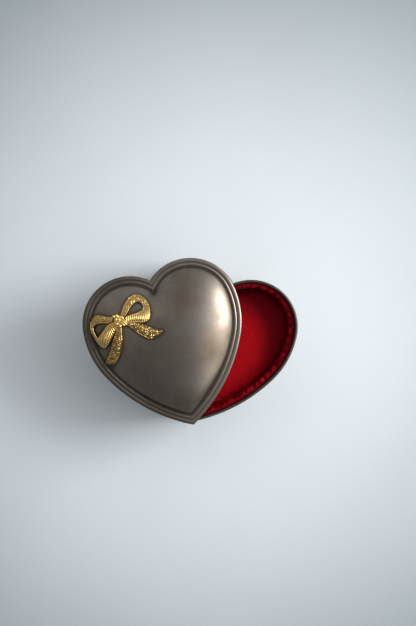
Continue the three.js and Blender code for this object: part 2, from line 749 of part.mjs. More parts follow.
// Arbor, with the hub that the spring hooks on.
function windingArbor(keyEnd) {
  const shaft = upright(ARBOR_RADIUS, keyEnd, CROWN_DISC_Z + 2 * WHEEL_THICKNESS, SMALL_ROUND);
  const hub = upright(ARBOR_HUB_RADIUS, SOFT_GAP, CUP_HEIGHT - CUP_SHEET - SOFT_GAP, SMALL_ROUND);
  return join(shaft, hub).translate(BARREL_X, 0, 0);
}

// The crown wheel: its teeth hang down from the rim of a disc with three windows.
function greatWheel() {
  const inner = CROWN_RADIUS - CROWN_FACE / 2;
  const outer = CROWN_RADIUS + CROWN_FACE / 2;
  const disc = new THREE.Shape().absarc(0, 0, outer, 0, 2 * Math.PI);
  disc.holes.push(roundHole(0, 0, ARBOR_RADIUS + FIXED_GAP));
  const window = (inner - ARBOR_HUB_RADIUS) / 4;
  const middle = (inner + ARBOR_HUB_RADIUS) / 2;
  for (let i = 0; i < 3; i += 1) {
    const angle = (2 * Math.PI * i) / 3;
    disc.holes.push(roundHole(middle * Math.cos(angle), middle * Math.sin(angle), window));
  }
  const pitch = Math.PI * DRIVE_MODULE;
  const tip = CROWN_PITCH_Z - ADDENDUM * DRIVE_MODULE;
  const root = CROWN_DISC_Z + WHEEL_THICKNESS / 4;
  const tooth = new THREE.Shape([
    new THREE.Vector2(-TOOTH_ROOT_SHARE * pitch, root),
    new THREE.Vector2(-TOOTH_TIP_SHARE * pitch, tip),
    new THREE.Vector2(TOOTH_TIP_SHARE * pitch, tip),
    new THREE.Vector2(TOOTH_ROOT_SHARE * pitch, root),
  ]);
  const teeth = Array.from({ length: CROWN_TEETH }, (_, i) =>
    standing(tooth, inner, outer - FIXED_GAP).rotateZ(((i + 0.5) * 2 * Math.PI) / CROWN_TEETH),
  );
  const wheel = flat(disc, CROWN_DISC_Z, CROWN_DISC_Z + WHEEL_THICKNESS, SMALL_ROUND);
  return join(wheel, ...teeth).translate(BARREL_X, 0, 0);
}

// The ratchet spring that lets the key wind without turning the train: a flat leaf on the arbor.
function ratchetSpring() {
  const half = CUP_RADIUS / 2;
  const arm = roundedRectangle(-half, half, -ARBOR_HUB_RADIUS, ARBOR_HUB_RADIUS, ARBOR_RADIUS);
  arm.holes.push(roundHole(0, 0, ARBOR_RADIUS + FIXED_GAP));
  const bottom = CROWN_DISC_Z + WHEEL_THICKNESS;
  return flat(arm, bottom, bottom + WHEEL_THICKNESS / 2).translate(BARREL_X, 0, 0);
}

function windingKey(top) {
  const bottom = top - KEY_DROP;
  const blade = roundedRectangle(-KEY_SPAN / 2, KEY_SPAN / 2, bottom, top - KEY_DROP / 4, KEY_BLADE);
  const wings = flat(blade, -KEY_BLADE / 2, KEY_BLADE / 2, 3).rotateX(Math.PI / 2);
  const hub = upright(KEY_HUB_RADIUS, bottom + KEY_BLADE, top);
  const bore = upright(ARBOR_RADIUS + FIXED_GAP, top - KEY_DROP / 2, top + 1, SMALL_ROUND);
  return cut(join(wings, hub), bore).translate(BARREL_X, 0, 0);
}

function drum() {
  const bore = lying(SPINDLE_RADIUS + FIXED_GAP, DRUM_LEFT - 1, DRUM_RIGHT + 1, SMALL_ROUND / 2);
  const pins = [];
  for (let track = 0; track < TRACKS; track += 1) {
    const x = COMB_LEFT + (track + 0.5) * TOOTH_PITCH;
    for (let note = 0; note < PINS_A_TRACK; note += 1) {
      const turns = note / PINS_A_TRACK + (track * TUNE_STEP) / TRACKS;
      const pin = new THREE.CylinderGeometry(PIN_RADIUS / 2, PIN_RADIUS, 2 * PIN_RISE, 4);
      pins.push(pin.translate(0, DRUM_RADIUS, 0).rotateX(2 * Math.PI * turns).translate(x, 0, 0));
    }
  }
  return cut(join(lying(DRUM_RADIUS, DRUM_LEFT, DRUM_RIGHT), ...pins), bore).translate(0, 0, AXIS_HEIGHT);
}

function comb() {
  const shape = new THREE.Shape();
  shape.moveTo(COMB_LEFT, COMB_BACK);
  shape.lineTo(COMB_RIGHT, COMB_BACK);
  for (let tooth = TRACKS; tooth > 0; tooth -= 1) {
    const right = COMB_LEFT + tooth * TOOTH_PITCH - TOOTH_SLOT / 2;
    const left = COMB_LEFT + (tooth - 1) * TOOTH_PITCH + TOOTH_SLOT / 2;
    const share = ((tooth - 1) / (TRACKS - 1)) ** 1.5;
    const length = THREE.MathUtils.lerp(LONGEST_TOOTH, SHORTEST_TOOTH, share);
    shape.lineTo(right, COMB_TIP - length);
    shape.lineTo(right, COMB_TIP);
    shape.lineTo(left, COMB_TIP);
    shape.lineTo(left, COMB_TIP - length);
  }
  for (const x of COMB_SCREWS) {
    shape.holes.push(roundHole(x, COMB_BACK + COMB_HEEL / 2, COMB_SCREW_RADIUS + FIXED_GAP));
  }
  const heelEnd = COMB_BACK + COMB_HEEL - TOOTH_SLOT;
  const under = block(COMB_LEFT - 1, COMB_RIGHT + 1, heelEnd, COMB_TIP + 1, 0, COMB_TOP - TOOTH_THICKNESS);
  return cut(flat(shape, COMB_UNDER, COMB_TOP), under);
}

// The governor's frame: a foot on the bedplate, two cheeks for the spindles, and a column behind the fan
// with an arm over it.
function governorBracket(fanTop) {
  const sheet = BEARING_THICKNESS;
  const left = WORM_WHEEL_X - TURNING_GAP * 3 - sheet;
  const right = SECOND_WHEEL_X + WHEEL_THICKNESS + TURNING_GAP * 3;
  const front = SECOND_AXIS.x - SPINDLE_RADIUS * 2;
  const back = WORM_Y + FAN_RADIUS + TURNING_GAP * 3;
  const half = SPINDLE_RADIUS * 1.6;
  const foot = block(left, right + sheet, front, back + sheet, 0, sheet);
  const cheeks = [left, right].flatMap((x) =>
    [SECOND_AXIS, WORM_WHEEL_AXIS].map((axis) => bearingPlate(axis, x, sheet / 2)),
  );
  const column = block(WORM_X - half, WORM_X + half, back, back + sheet, 0, fanTop + sheet);
  const arm = block(WORM_X - half, WORM_X + half, WORM_Y - half, back + sheet, fanTop, fanTop + sheet);
  const bores = [SECOND_AXIS, WORM_WHEEL_AXIS].map((axis) => {
    const bore = lying(SPINDLE_RADIUS + TURNING_GAP, left - 1, right + 2 * sheet, SMALL_ROUND / 2);
    return bore.translate(0, axis.x, axis.y);
  });
  const pivot = upright(SPINDLE_RADIUS + TURNING_GAP, sheet / 2, fanTop + 2 * sheet, SMALL_ROUND / 2);
  return cut(join(foot, ...cheeks, column, arm), ...bores, pivot.translate(WORM_X, WORM_Y, 0));
}

function spindle(axis, left, right) {
  return lying(SPINDLE_RADIUS, left, right, SMALL_ROUND / 2).translate(0, axis.x, axis.y);
}

// The endless screw, with a right-hand thread. Where it faces the wheel, a gap stands level with the
// wheel's axis, and the fan sits on top.
function worm(bottom, top) {
  const lead = Math.PI * WORM_MODULE;
  const root = WORM_ROOT_RADIUS;
  const tip = WORM_PITCH_RADIUS + ADDENDUM * WORM_MODULE;
  const sunk = root * 0.8;
  const rings = [];
  for (let i = 0; i <= WORM_TURNS * SMALL_ROUND; i += 1) {
    const turns = i / SMALL_ROUND - WORM_TURNS / 2;
    const angle = 2 * Math.PI * turns - Math.PI / 2;
    const z = WORM_WHEEL_AXIS.y + lead * (turns + 0.5);
    const section = [
      [sunk, -TOOTH_ROOT_SHARE * lead],
      [tip, -TOOTH_TIP_SHARE * lead],
      [tip, TOOTH_TIP_SHARE * lead],
      [sunk, TOOTH_ROOT_SHARE * lead],
    ];
    const [cos, sin] = [Math.cos(angle), Math.sin(angle)];
    rings.push(section.map(([radius, up]) => new THREE.Vector3(radius * cos, radius * sin, z + up)));
  }
  return join(upright(root, bottom, top, SMALL_ROUND), skin(rings, false)).translate(WORM_X, WORM_Y, 0);
}

function fan(bottom) {
  const top = bottom + FAN_HEIGHT;
  const half = FAN_BLADE / 2;
  const hub = upright(SPINDLE_RADIUS * 2, bottom, top, SMALL_ROUND);
  const blades = block(-FAN_RADIUS, FAN_RADIUS, -half, half, bottom, top);
  const bore = upright(WORM_ROOT_RADIUS + FIXED_GAP, bottom - 1, top + 1, SMALL_ROUND);
  return cut(join(hub, blades), bore).translate(WORM_X, WORM_Y, 0);
}

// ---------------------------------------------------------------- assembly

const musicBox = new THREE.Group();
const box = new THREE.Group();
const movement = new THREE.Group();
const lidSwivel = new THREE.Group();
const lid = new THREE.Group();

function add(group, name, geometry, material) {
  const mesh = new THREE.Mesh(geometry, material);
  mesh.name = name;
  group.add(mesh);
  return mesh;
}

const fanBottom = WORM_WHEEL_AXIS.y + WORM_WHEEL_RADIUS + WORM_MODULE + 4 * TURNING_GAP;
const fanTop = fanBottom + FAN_HEIGHT + 2 * TURNING_GAP;
const movementTop = Math.max(fanTop + BEARING_THICKNESS, CROWN_DISC_Z + 2 * WHEEL_THICKNESS);
const plateTop = KEY_RECESS + BOTTOM_THICKNESS;
const floorBottom = BEDPLATE_Z + movementTop + UNDER_FLOOR_GAP;
const floorTop = floorBottom + FLOOR_THICKNESS;

add(box, "box_wall", boxWall(plateTop, floorBottom), PEWTER);

const barrelHole = roundHole(BARREL_X, MOVEMENT_Y, ARBOR_RADIUS + 4 * TURNING_GAP);
const plateHoles = [
  barrelHole,
  roundHole(0, PIVOT_Y, PIVOT_RADIUS + TURNING_GAP),
  ...cornerPosts().map(({ x, y }) => roundHole(x, y, SMALL_SCREW_RADIUS + FIXED_GAP)),
  ...MOUNT_SCREWS.map(([x, y]) => roundHole(x, MOVEMENT_Y + y, MOUNT_SCREW_RADIUS + FIXED_GAP)),
];
add(box, "bottom_plate", heartPlate(LINING_INSET, KEY_RECESS, plateTop, plateHoles), PEWTER);
cornerPosts().forEach(({ x, y }, i) => {
  const part = screw(SMALL_SCREW_RADIUS, BOTTOM_THICKNESS + SMALL_SCREW_LENGTH - 1);
  add(box, "bottom_screw_" + (i + 1), part, STEEL).position.set(x, y, KEY_RECESS);
});

const postHole = roundHole(0, PIVOT_Y, POST_RADIUS + SOFT_GAP);
const pivotPost = cut(
  join(
    upright(POST_RADIUS, plateTop, WALL_HEIGHT),
    upright(POST_FOOT_RADIUS, plateTop, plateTop + POST_FOOT_THICKNESS),
  ),
  upright(PIVOT_RADIUS + TURNING_GAP, 0, WALL_HEIGHT + 1, SMALL_ROUND),
);
add(box, "pivot_post", pivotPost, BRASS).position.set(0, PIVOT_Y, 0);
add(box, "false_floor", heartPlate(LINING_INSET, floorBottom, floorTop, [postHole]), CARD);

const liningTop = WALL_HEIGHT - LINING_DROP;
const liningInside = LINING_INSET + LINING_THICKNESS;
const lining = heartRing([
  [LINING_INSET, floorTop],
  [LINING_INSET, liningTop],
  [liningInside, liningTop],
  [liningInside, floorTop],
]);
const pad = heartPlate(liningInside + SOFT_GAP, floorTop, floorTop + PAD_THICKNESS, []);
const aroundPost = upright(POST_RADIUS + SOFT_GAP, 0, WALL_HEIGHT).translate(0, PIVOT_Y, 0);
add(box, "wall_lining", cut(lining, aroundPost), SATIN);
add(box, "floor_pad", cut(pad, aroundPost), SATIN);

// The lid and all that turns with it, about the pivot.
add(lid, "lid_shell", lidShell(), PEWTER);
add(lid, "ribbon_bow", ribbonBow(), GOLD);
const peg = upright(PEG_RADIUS, -PEG_DROP, -FIXED_GAP, SMALL_ROUND);
const pegInset = CAVITY_INSET + PEG_CLEARANCE + PEG_RADIUS;
const pegPlace = heartPoint(pegInset, PEG_ANGLE);
add(lid, "lid_stop_peg", peg, PEWTER).position.set(pegPlace.x, pegPlace.y, 0);

const lidZ = WALL_HEIGHT + LID_GAP;
const rodTop = lidZ + LID_BOSS_HEIGHT - LID_WEB_THICKNESS / 2 - LID_GAP;
const washerTop = KEY_RECESS - LID_GAP;
const nutTop = washerTop - WASHER_THICKNESS;
const nutBottom = nutTop - NUT_THICKNESS;
const rod = upright(PIVOT_RADIUS, nutBottom - PIVOT_RADIUS / 3, rodTop, SMALL_ROUND);
const rodBore = () => upright(PIVOT_RADIUS + FIXED_GAP, 0, KEY_RECESS, SMALL_ROUND);
const washer = cut(upright(NUT_RADIUS, nutTop, washerTop), rodBore());
const nut = cut(upright(NUT_RADIUS, nutBottom, nutTop, 6), rodBore());
add(lidSwivel, "pivot_rod", rod, STEEL);
add(lidSwivel, "pivot_washer", washer, BRASS);
add(lidSwivel, "pivot_nut", nut, BRASS);
lid.position.set(0, -PIVOT_Y, lidZ);
lidSwivel.add(lid);
lidSwivel.position.set(0, PIVOT_Y, 0);
lidSwivel.rotation.z = radians(LID_SWING);

// The movement, on top of the bottom plate.
add(movement, "bedplate", bedplate(), ZINC);
MOUNT_SCREWS.forEach(([x, y], i) => {
  const part = screw(MOUNT_SCREW_RADIUS, -MOUNT_SCREW_START - FIXED_GAP);
  add(movement, "movement_screw_" + (i + 1), part, STEEL).position.set(x, y, MOUNT_SCREW_START);
});
add(movement, "spring_cup", springCup(), STEEL);
CUP_SCREW_ANGLES.forEach((angle, i) => {
  const x = BARREL_X + CUP_EAR_REACH * Math.cos(radians(angle));
  const y = CUP_EAR_REACH * Math.sin(radians(angle));
  const part = screw(SMALL_SCREW_RADIUS, BEDPLATE_THICKNESS + CUP_SHEET - FIXED_GAP).rotateX(Math.PI);
  add(movement, "cup_screw_" + (i + 1), part, STEEL).position.set(x, y, CUP_SHEET);
});
add(movement, "mainspring", mainspring(), STEEL);
const keyTop = -BEDPLATE_THICKNESS - BOTTOM_THICKNESS - LID_GAP;
add(movement, "winding_arbor", windingArbor(keyTop - KEY_DROP / 2 + FIXED_GAP), STEEL);
add(movement, "great_wheel", greatWheel(), BRASS);
add(movement, "ratchet_spring", ratchetSpring(), STEEL);
add(movement, "winding_key", windingKey(keyTop), STEEL);

const crownMesh = [DRUM_PINION_TEETH, DRIVE_MODULE, Math.PI / 2];
const drumPinion = wheelOnSpindle(...crownMesh, DRUM_PINION_LEFT, CROWN_FACE);
const drumWheel = wheelOnSpindle(DRUM_WHEEL_TEETH, TRAIN_MODULE, DRUM_WHEEL_PHASE, DRUM_WHEEL_X);
const drumSpindle = spindle(DRUM_AXIS, DRUM_PINION_LEFT, DRUM_WHEEL_X + WHEEL_THICKNESS);
add(movement, "pinned_cylinder", drum(), BRASS);
add(movement, "cylinder_spindle", drumSpindle, STEEL);
add(movement, "cylinder_pinion", drumPinion, BRASS).position.z = AXIS_HEIGHT;
add(movement, "cylinder_wheel", drumWheel, BRASS).position.z = AXIS_HEIGHT;
add(movement, "comb", comb(), STEEL);
COMB_SCREWS.forEach((x, i) => {
  const part = screw(COMB_SCREW_RADIUS, COMB_TOP - 2).rotateX(Math.PI);
  add(movement, "comb_screw_" + (i + 1), part, STEEL).position.set(x, COMB_BACK + COMB_HEEL / 2, COMB_TOP);
});

const spindleLeft = WORM_WHEEL_X - TURNING_GAP * 3 - BEARING_THICKNESS;
const spindleRight = SECOND_WHEEL_X + WHEEL_THICKNESS + TURNING_GAP * 3 + BEARING_THICKNESS;
const secondPinion = wheelOnSpindle(PINION_TEETH, TRAIN_MODULE, SECOND_PHASE, DRUM_WHEEL_X);
const secondWheel = wheelOnSpindle(SECOND_WHEEL_TEETH, TRAIN_MODULE, SECOND_WHEEL_PHASE, SECOND_WHEEL_X);
const wormPinion = wheelOnSpindle(PINION_TEETH, TRAIN_MODULE, WORM_PINION_PHASE, SECOND_WHEEL_X);
const wormWheel = wheelOnSpindle(WORM_WHEEL_TEETH, WORM_MODULE, 0, WORM_WHEEL_X);
add(movement, "governor_bracket", governorBracket(fanTop), ZINC);
add(movement, "second_spindle", spindle(SECOND_AXIS, spindleLeft, spindleRight), STEEL);
add(movement, "second_pinion", secondPinion, BRASS).position.set(0, SECOND_AXIS.x, SECOND_AXIS.y);
add(movement, "second_wheel", secondWheel, BRASS).position.set(0, SECOND_AXIS.x, SECOND_AXIS.y);
add(movement, "worm_spindle", spindle(WORM_WHEEL_AXIS, spindleLeft, spindleRight), STEEL);
add(movement, "worm_pinion", wormPinion, BRASS).position.set(0, WORM_WHEEL_AXIS.x, WORM_WHEEL_AXIS.y);
add(movement, "worm_wheel", wormWheel, PLASTIC).position.set(0, WORM_WHEEL_AXIS.x, WORM_WHEEL_AXIS.y);
add(movement, "governor_worm", worm(BEARING_THICKNESS, fanTop + BEARING_THICKNESS), STEEL);
add(movement, "governor_fan", fan(fanBottom), PLASTIC);
movement.position.set(0, MOVEMENT_Y, BEDPLATE_Z);

// The part's origin is under the middle of the whole object, lid swung open.
musicBox.add(box, movement, lidSwivel);
const extent = new THREE.Box3().setFromObject(musicBox, true);
const middle = extent.getCenter(new THREE.Vector3());
for (const group of [box, movement, lidSwivel]) {
  group.position.x -= middle.x;
  group.position.y -= middle.y;
}

export default musicBox;
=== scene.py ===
"""The finish of a heart-shaped wind-up music box: an aged silver box and domed lid, a cast gold ribbon bow,
a gathered red satin lining over a padded floor, and the key, screws and movement beneath.

Laid out as an add-on and run as a script. Everything is in metres, in the frame of the packed model."""

import json
import math

import bmesh
import bpy
import numpy as np
from mathutils import Matrix, Vector, noise


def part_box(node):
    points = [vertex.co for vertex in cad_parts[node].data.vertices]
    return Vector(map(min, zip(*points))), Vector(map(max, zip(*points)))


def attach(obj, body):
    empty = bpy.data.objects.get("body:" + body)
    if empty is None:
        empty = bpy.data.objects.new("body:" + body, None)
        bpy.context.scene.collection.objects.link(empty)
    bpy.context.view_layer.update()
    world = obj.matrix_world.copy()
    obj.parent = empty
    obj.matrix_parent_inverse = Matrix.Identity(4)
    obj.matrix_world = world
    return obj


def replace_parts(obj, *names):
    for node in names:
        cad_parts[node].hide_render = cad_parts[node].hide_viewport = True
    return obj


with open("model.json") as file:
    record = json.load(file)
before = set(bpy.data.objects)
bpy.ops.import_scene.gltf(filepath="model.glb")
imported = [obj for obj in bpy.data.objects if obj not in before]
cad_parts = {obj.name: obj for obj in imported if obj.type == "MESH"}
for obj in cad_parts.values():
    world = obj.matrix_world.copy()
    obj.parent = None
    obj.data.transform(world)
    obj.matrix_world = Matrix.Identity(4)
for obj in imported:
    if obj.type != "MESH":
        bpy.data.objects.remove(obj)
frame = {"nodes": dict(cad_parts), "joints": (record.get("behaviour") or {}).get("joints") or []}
bpy.context.view_layer.update()

bl_info = {
    "name": "Heart Music Box",
    "version": (1, 0, 0),
    "blender": (4, 5, 0),
    "location": "3D View > Sidebar > Music Box",
    "description": "Builds the pieces and finishes of a heart-shaped wind-up music box",
    "category": "Add Mesh",
}

MM = 0.001

# ------------ places taken from the packed model

WALL_LOW, WALL_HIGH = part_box("box_wall")
LID_LOW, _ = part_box("lid_shell")
_, LINING_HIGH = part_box("wall_lining")
PAD_LOW, PAD_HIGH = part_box("floor_pad")
PLATE_LOW, PLATE_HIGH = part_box("bottom_plate")
PIVOT = sum(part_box("pivot_rod"), Vector()) / 2
LID_JOINT = next(joint for joint in frame["joints"] if joint["name"] == "lid_swing")
SWING = math.radians(-LID_JOINT["range_deg"][0])


# ------------ sizes and colours


def length(name, description, mm, least=0.0):
    return bpy.props.FloatProperty(
        name=name, description=description, default=mm * MM, min=least, unit="LENGTH", precision=5
    )


def angle(name, description, degrees):
    return bpy.props.FloatProperty(
        name=name, description=description, default=math.radians(degrees), unit="ROTATION"
    )


def share(name, description, default):
    return bpy.props.FloatProperty(
        name=name, description=description, default=default, min=0.0, max=1.0, subtype="FACTOR"
    )


def colour(name, description, *default):
    return bpy.props.FloatVectorProperty(
        name=name, description=description, default=default, size=3, min=0.0, soft_max=1.0, subtype="COLOR"
    )


class HeartSizes(bpy.types.PropertyGroup):
    """The heart that box and lid share: three arcs a side"""

    lobe_radius: length("Lobe radius", "Radius of the round lobes", 28.6)
    lobe_offset: length("Lobe offset", "Distance of a lobe's centre from the heart's axis", 18.8)
    shoulder_radius: length("Shoulder radius", "Radius of the arc below a lobe", 50.5)
    side_radius: length("Side radius", "Radius of the long arc that runs to the tip", 98.7)
    lobe_end: angle("Lobe end", "Direction of the outline where lobe and shoulder meet", 8.8)
    shoulder_end: angle("Shoulder end", "Direction of the outline where shoulder and side meet", -27.2)
    rim_inset: length("Rim inset", "How far the box's rim lies inside the lid's edge", 0.5)


class LidSizes(bpy.types.PropertyGroup):
    """The lid's mouldings and dome"""

    flange_width: length("Flange width", "Rounded border round the lid", 2.4)
    flange_thickness: length("Flange thickness", "Thickness of that border", 1.6)
    groove_width: length("Groove width", "Width of the grooves beside the bead", 0.5)
    groove_depth: length("Groove depth", "Depth of those grooves", 0.45)
    bead_width: length("Bead width", "Width of the half-round bead", 1.9)
    bead_rise: length("Bead rise", "Height of the bead over its grooves", 0.8)
    dome_rise: length("Dome rise", "Height of the dome over the flange", 11.0)
    sheet: length("Sheet", "Thickness of the dome's metal", 1.2)
    crown_y: length("Crown place", "Distance of the crown from the heart's tip", 50.0)
    crown_width: length("Crown width", "Half width of the oval the dome eases into", 36.0)
    crown_length: length("Crown length", "Half length of that oval", 38.0)
    pivot_y: length("Pivot place", "Distance of the swivel pin from the heart's tip", 9.7)
    softness: share("Softness", "How gently the dome leaves its edge", 0.6)


class BowSizes(bpy.types.PropertyGroup):
    """The cast ribbon bow"""

    knot_x: length("Knot across", "Place of the knot across the lid", -23.6, -1.0)
    knot_y: length("Knot along", "Place of the knot along the lid, from the tip", 71.9)
    hammer_depth: length("Hammer depth", "Depth of the hammered texture", 0.7)
    hammer_size: length("Hammer size", "Size of one hammer mark", 1.5)
    rib_depth: length("Rib depth", "Depth of the grooves across the front bands", 0.65)
    rib_pitch: length("Rib pitch", "Distance between two of those grooves", 1.2)
    crown: share("Crown", "Roundness of a band, as a share of its width", 0.14)
    bead_radius: length("Bead radius", "Radius of the beads on the knot", 1.12)
    # Reach of the tarnish and painted contact shade on the dome beside the bow.
    dirt_and_shade_reach: length("Dirt reach", "How far dirt gathers on the dome beside the bow", 1.1)


class SatinSizes(bpy.types.PropertyGroup):
    """The gathered lining and the floor pad"""

    rib_spacing: length("Rib spacing", "Distance between two ribs of the satin", 1.5)
    gather_spacing: length("Gather spacing", "Usual distance between two gathers", 5.2)
    gather_depth: length("Gather depth", "How far a gather stands in from the wall", 1.7)
    gather_slant: length("Gather slant", "How far a gather leans along the wall", 2.4)
    fullness: share("Fullness", "How much longer the gathered cloth is than the wall", 0.12)
    # Painted shadow: shade_reach and shade_turn place the wall's cast shadow, which is painted deep red on
    # the floor pad.
    shade_reach: length("Shade reach", "How far from the wall the satin has kept its deep red", 22.0)
    shade_turn: angle("Shade turn", "Direction, across the heart, of the wall that shaded it", 58.0)


class Finishes(bpy.types.PropertyGroup):
    """The colours of every finish"""

    silver: colour("Silver", "Rubbed old silver plate", 0.255, 0.227, 0.20)
    tarnish: colour("Tarnish", "Dull brown film on the silver", 0.145, 0.12, 0.096)
    # Also the colour of painted shade on the silver.
    silver_dirt_and_shade: colour("Silver dirt", "Black left in the grooves", 0.045, 0.038, 0.031)
    gold: colour("Gold", "Gilding", 0.70, 0.475, 0.18)
    old_gold: colour("Old gold", "Darker, browned gilding", 0.34, 0.20, 0.068)
    satin: colour("Satin", "The lining's red", 0.56, 0.006, 0.011)
    # Painted shade: the red put in the depth of the satin's folds.
    satin_fold_shade: colour("Satin fold", "The red in the depth of a fold", 0.11, 0.002, 0.006)
    # Painted shade: the red painted where the wall's shadow falls on the pad and between the lining's
    # gathers.
    satin_painted_shade: colour("Deep satin", "The shadowed red beside the wall", 0.22, 0.003, 0.010)
    card: colour("Card", "Red paper over the card under the pad", 0.04, 0.002, 0.003)
    steel: colour("Steel", "Bright steel", 0.56, 0.57, 0.59)
    steel_film: colour("Steel film", "Dull film on the steel", 0.30, 0.29, 0.28)
    brass: colour("Brass", "Turned brass", 0.74, 0.53, 0.22)
    brass_film: colour("Brass film", "Browned brass", 0.36, 0.23, 0.08)
    zinc: colour("Zinc", "Cast zinc", 0.50, 0.50, 0.50)
    zinc_film: colour("Zinc film", "Grey bloom on the zinc", 0.30, 0.30, 0.30)
    plastic: colour("Plastic", "White moulded plastic", 0.80, 0.78, 0.72)


class StageSizes(bpy.types.PropertyGroup):
    """Floor, light and camera"""

    camera_height: length("Camera height", "Height of the camera over the lid's rim", 620.0)
    view_height: length("View height", "Height of the view, measured at the lid's rim", 375.6)
    view_across: length("View across", "How far right of the pivot the view's middle lies", 11.4)
    view_over: length("View over", "How far over the pivot the view's middle lies", 57.6)
    roll: angle("Roll", "Turn of the camera about its line of sight", 19.4)
    floor: colour("Floor", "The table top", 0.84, 0.91, 0.97)
    # Painted light falloff: the table top turns to this colour away from the box.
    far_floor_painted_dim: colour("Far floor", "The table top further off", 0.27, 0.32, 0.35)
    window_strength: bpy.props.FloatProperty(
        name="Window", description="Power of the window light", default=4.6, min=0.0, unit="POWER"
    )
    window_width: length("Window width", "Width of the window", 360.0)
    window_depth: length("Window depth", "Depth of the window", 260.0)
    window_distance: length("Window distance", "Distance of the window from the box", 800.0)
    window_turn: angle("Window turn", "Direction of the window from the right of the view", 14.0)
    window_height: angle("Window height", "Height of the window over the table", 31.0)
    room_dark: colour("Room's dark side", "Colour of the room away from the window", 0.34, 0.34, 0.34)
    room_bright: colour("Room's bright side", "Colour of the room by the window", 2.2, 2.2, 2.2)


class MusicBoxSizes(bpy.types.PropertyGroup):
    """Every size and colour of the music box"""

    heart: bpy.props.PointerProperty(name="Heart", type=HeartSizes)
    lid: bpy.props.PointerProperty(name="Lid", type=LidSizes)
    bow: bpy.props.PointerProperty(name="Bow", type=BowSizes)
    satin: bpy.props.PointerProperty(name="Satin", type=SatinSizes)
    tints: bpy.props.PointerProperty(name="Finishes", type=Finishes)
    stage: bpy.props.PointerProperty(name="Stage", type=StageSizes)


# ------------ the heart


def arc_after(arc, radius, turn):
    """The arc of another radius that carries on smoothly from this one: centre x and y, radius."""
    away = arc[2] - radius
    return (arc[0] + away * math.cos(turn), arc[1] + away * math.sin(turn), radius)


def heart_arcs(sizes, inset):
    """The right half's arcs from notch to tip, moved inwards: centre x, y, radius, first and last angle."""
    lobe = (sizes.lobe_offset, 0.0, sizes.lobe_radius)
    shoulder = arc_after(lobe, sizes.shoulder_radius, sizes.lobe_end)
    side = arc_after(shoulder, sizes.side_radius, sizes.shoulder_end)
    outer_tip = -math.acos(-side[0] / side[2])
    rise = -(side[1] + side[2] * math.sin(outer_tip))
    notch = math.pi - math.acos(lobe[0] / (lobe[2] - inset))
    tip = -math.acos(-side[0] / (side[2] - inset))
    turns = [notch, sizes.lobe_end, sizes.shoulder_end, tip]
    return [
        (x, y + rise, radius - inset, turns[i], turns[i + 1])
        for i, (x, y, radius) in enumerate((lobe, shoulder, side))
    ]


def heart(sizes, inset, steps=(80, 24, 56)):
    """The outline as an array of points, anticlockwise from the notch. The tip is at y = 0 for inset 0."""
    arcs = heart_arcs(sizes, inset)
    right = []
    for (x, y, radius, first, last), count in zip(arcs, steps):
        turns = np.linspace(first, last, count, endpoint=False)
        right.append(np.column_stack([x + radius * np.cos(turns), y + radius * np.sin(turns)]))
    right = np.vstack(right)
    x, y, radius, _, last = arcs[-1]
    tip = [[x + radius * math.cos(last), y + radius * math.sin(last)]]
    return np.vstack([right * [-1.0, 1.0], tip, right[:0:-1]])


def box_place(sizes):
    """From the heart's own frame to the box."""
    rim = heart(sizes, sizes.rim_inset)
    middle = (WALL_LOW.x + WALL_HIGH.x) / 2
    return Matrix.Translation((middle, WALL_LOW.y - rim[:, 1].min(), 0.0))


def lid_place(lid):
    """From the heart's own frame to the lid, swung open about its pivot, its underside at height 0."""
    turned = Matrix.Rotation(SWING, 4, "Z") @ Matrix.Translation((0.0, -lid.pivot_y, 0.0))
    return Matrix.Translation((PIVOT.x, PIVOT.y, LID_LOW.z)) @ turned


def dome_inset(lid):
    return lid.flange_width + 2 * lid.groove_width + lid.bead_width


def dome_ring(outline, lid, pull):
    """A ring of the dome: pull 0 is the heart's edge and pull 1 the crown. The heart eases into an oval."""
    away = outline - [0.0, lid.crown_y]
    reach = np.hypot(*away.T)
    oval = 1 / np.hypot(away[:, 0] / reach / lid.crown_width, away[:, 1] / reach / lid.crown_length)
    factor = (1 - pull) * (reach + (oval - reach) * pull) / reach
    return away * factor[:, None] + [0.0, lid.crown_y]


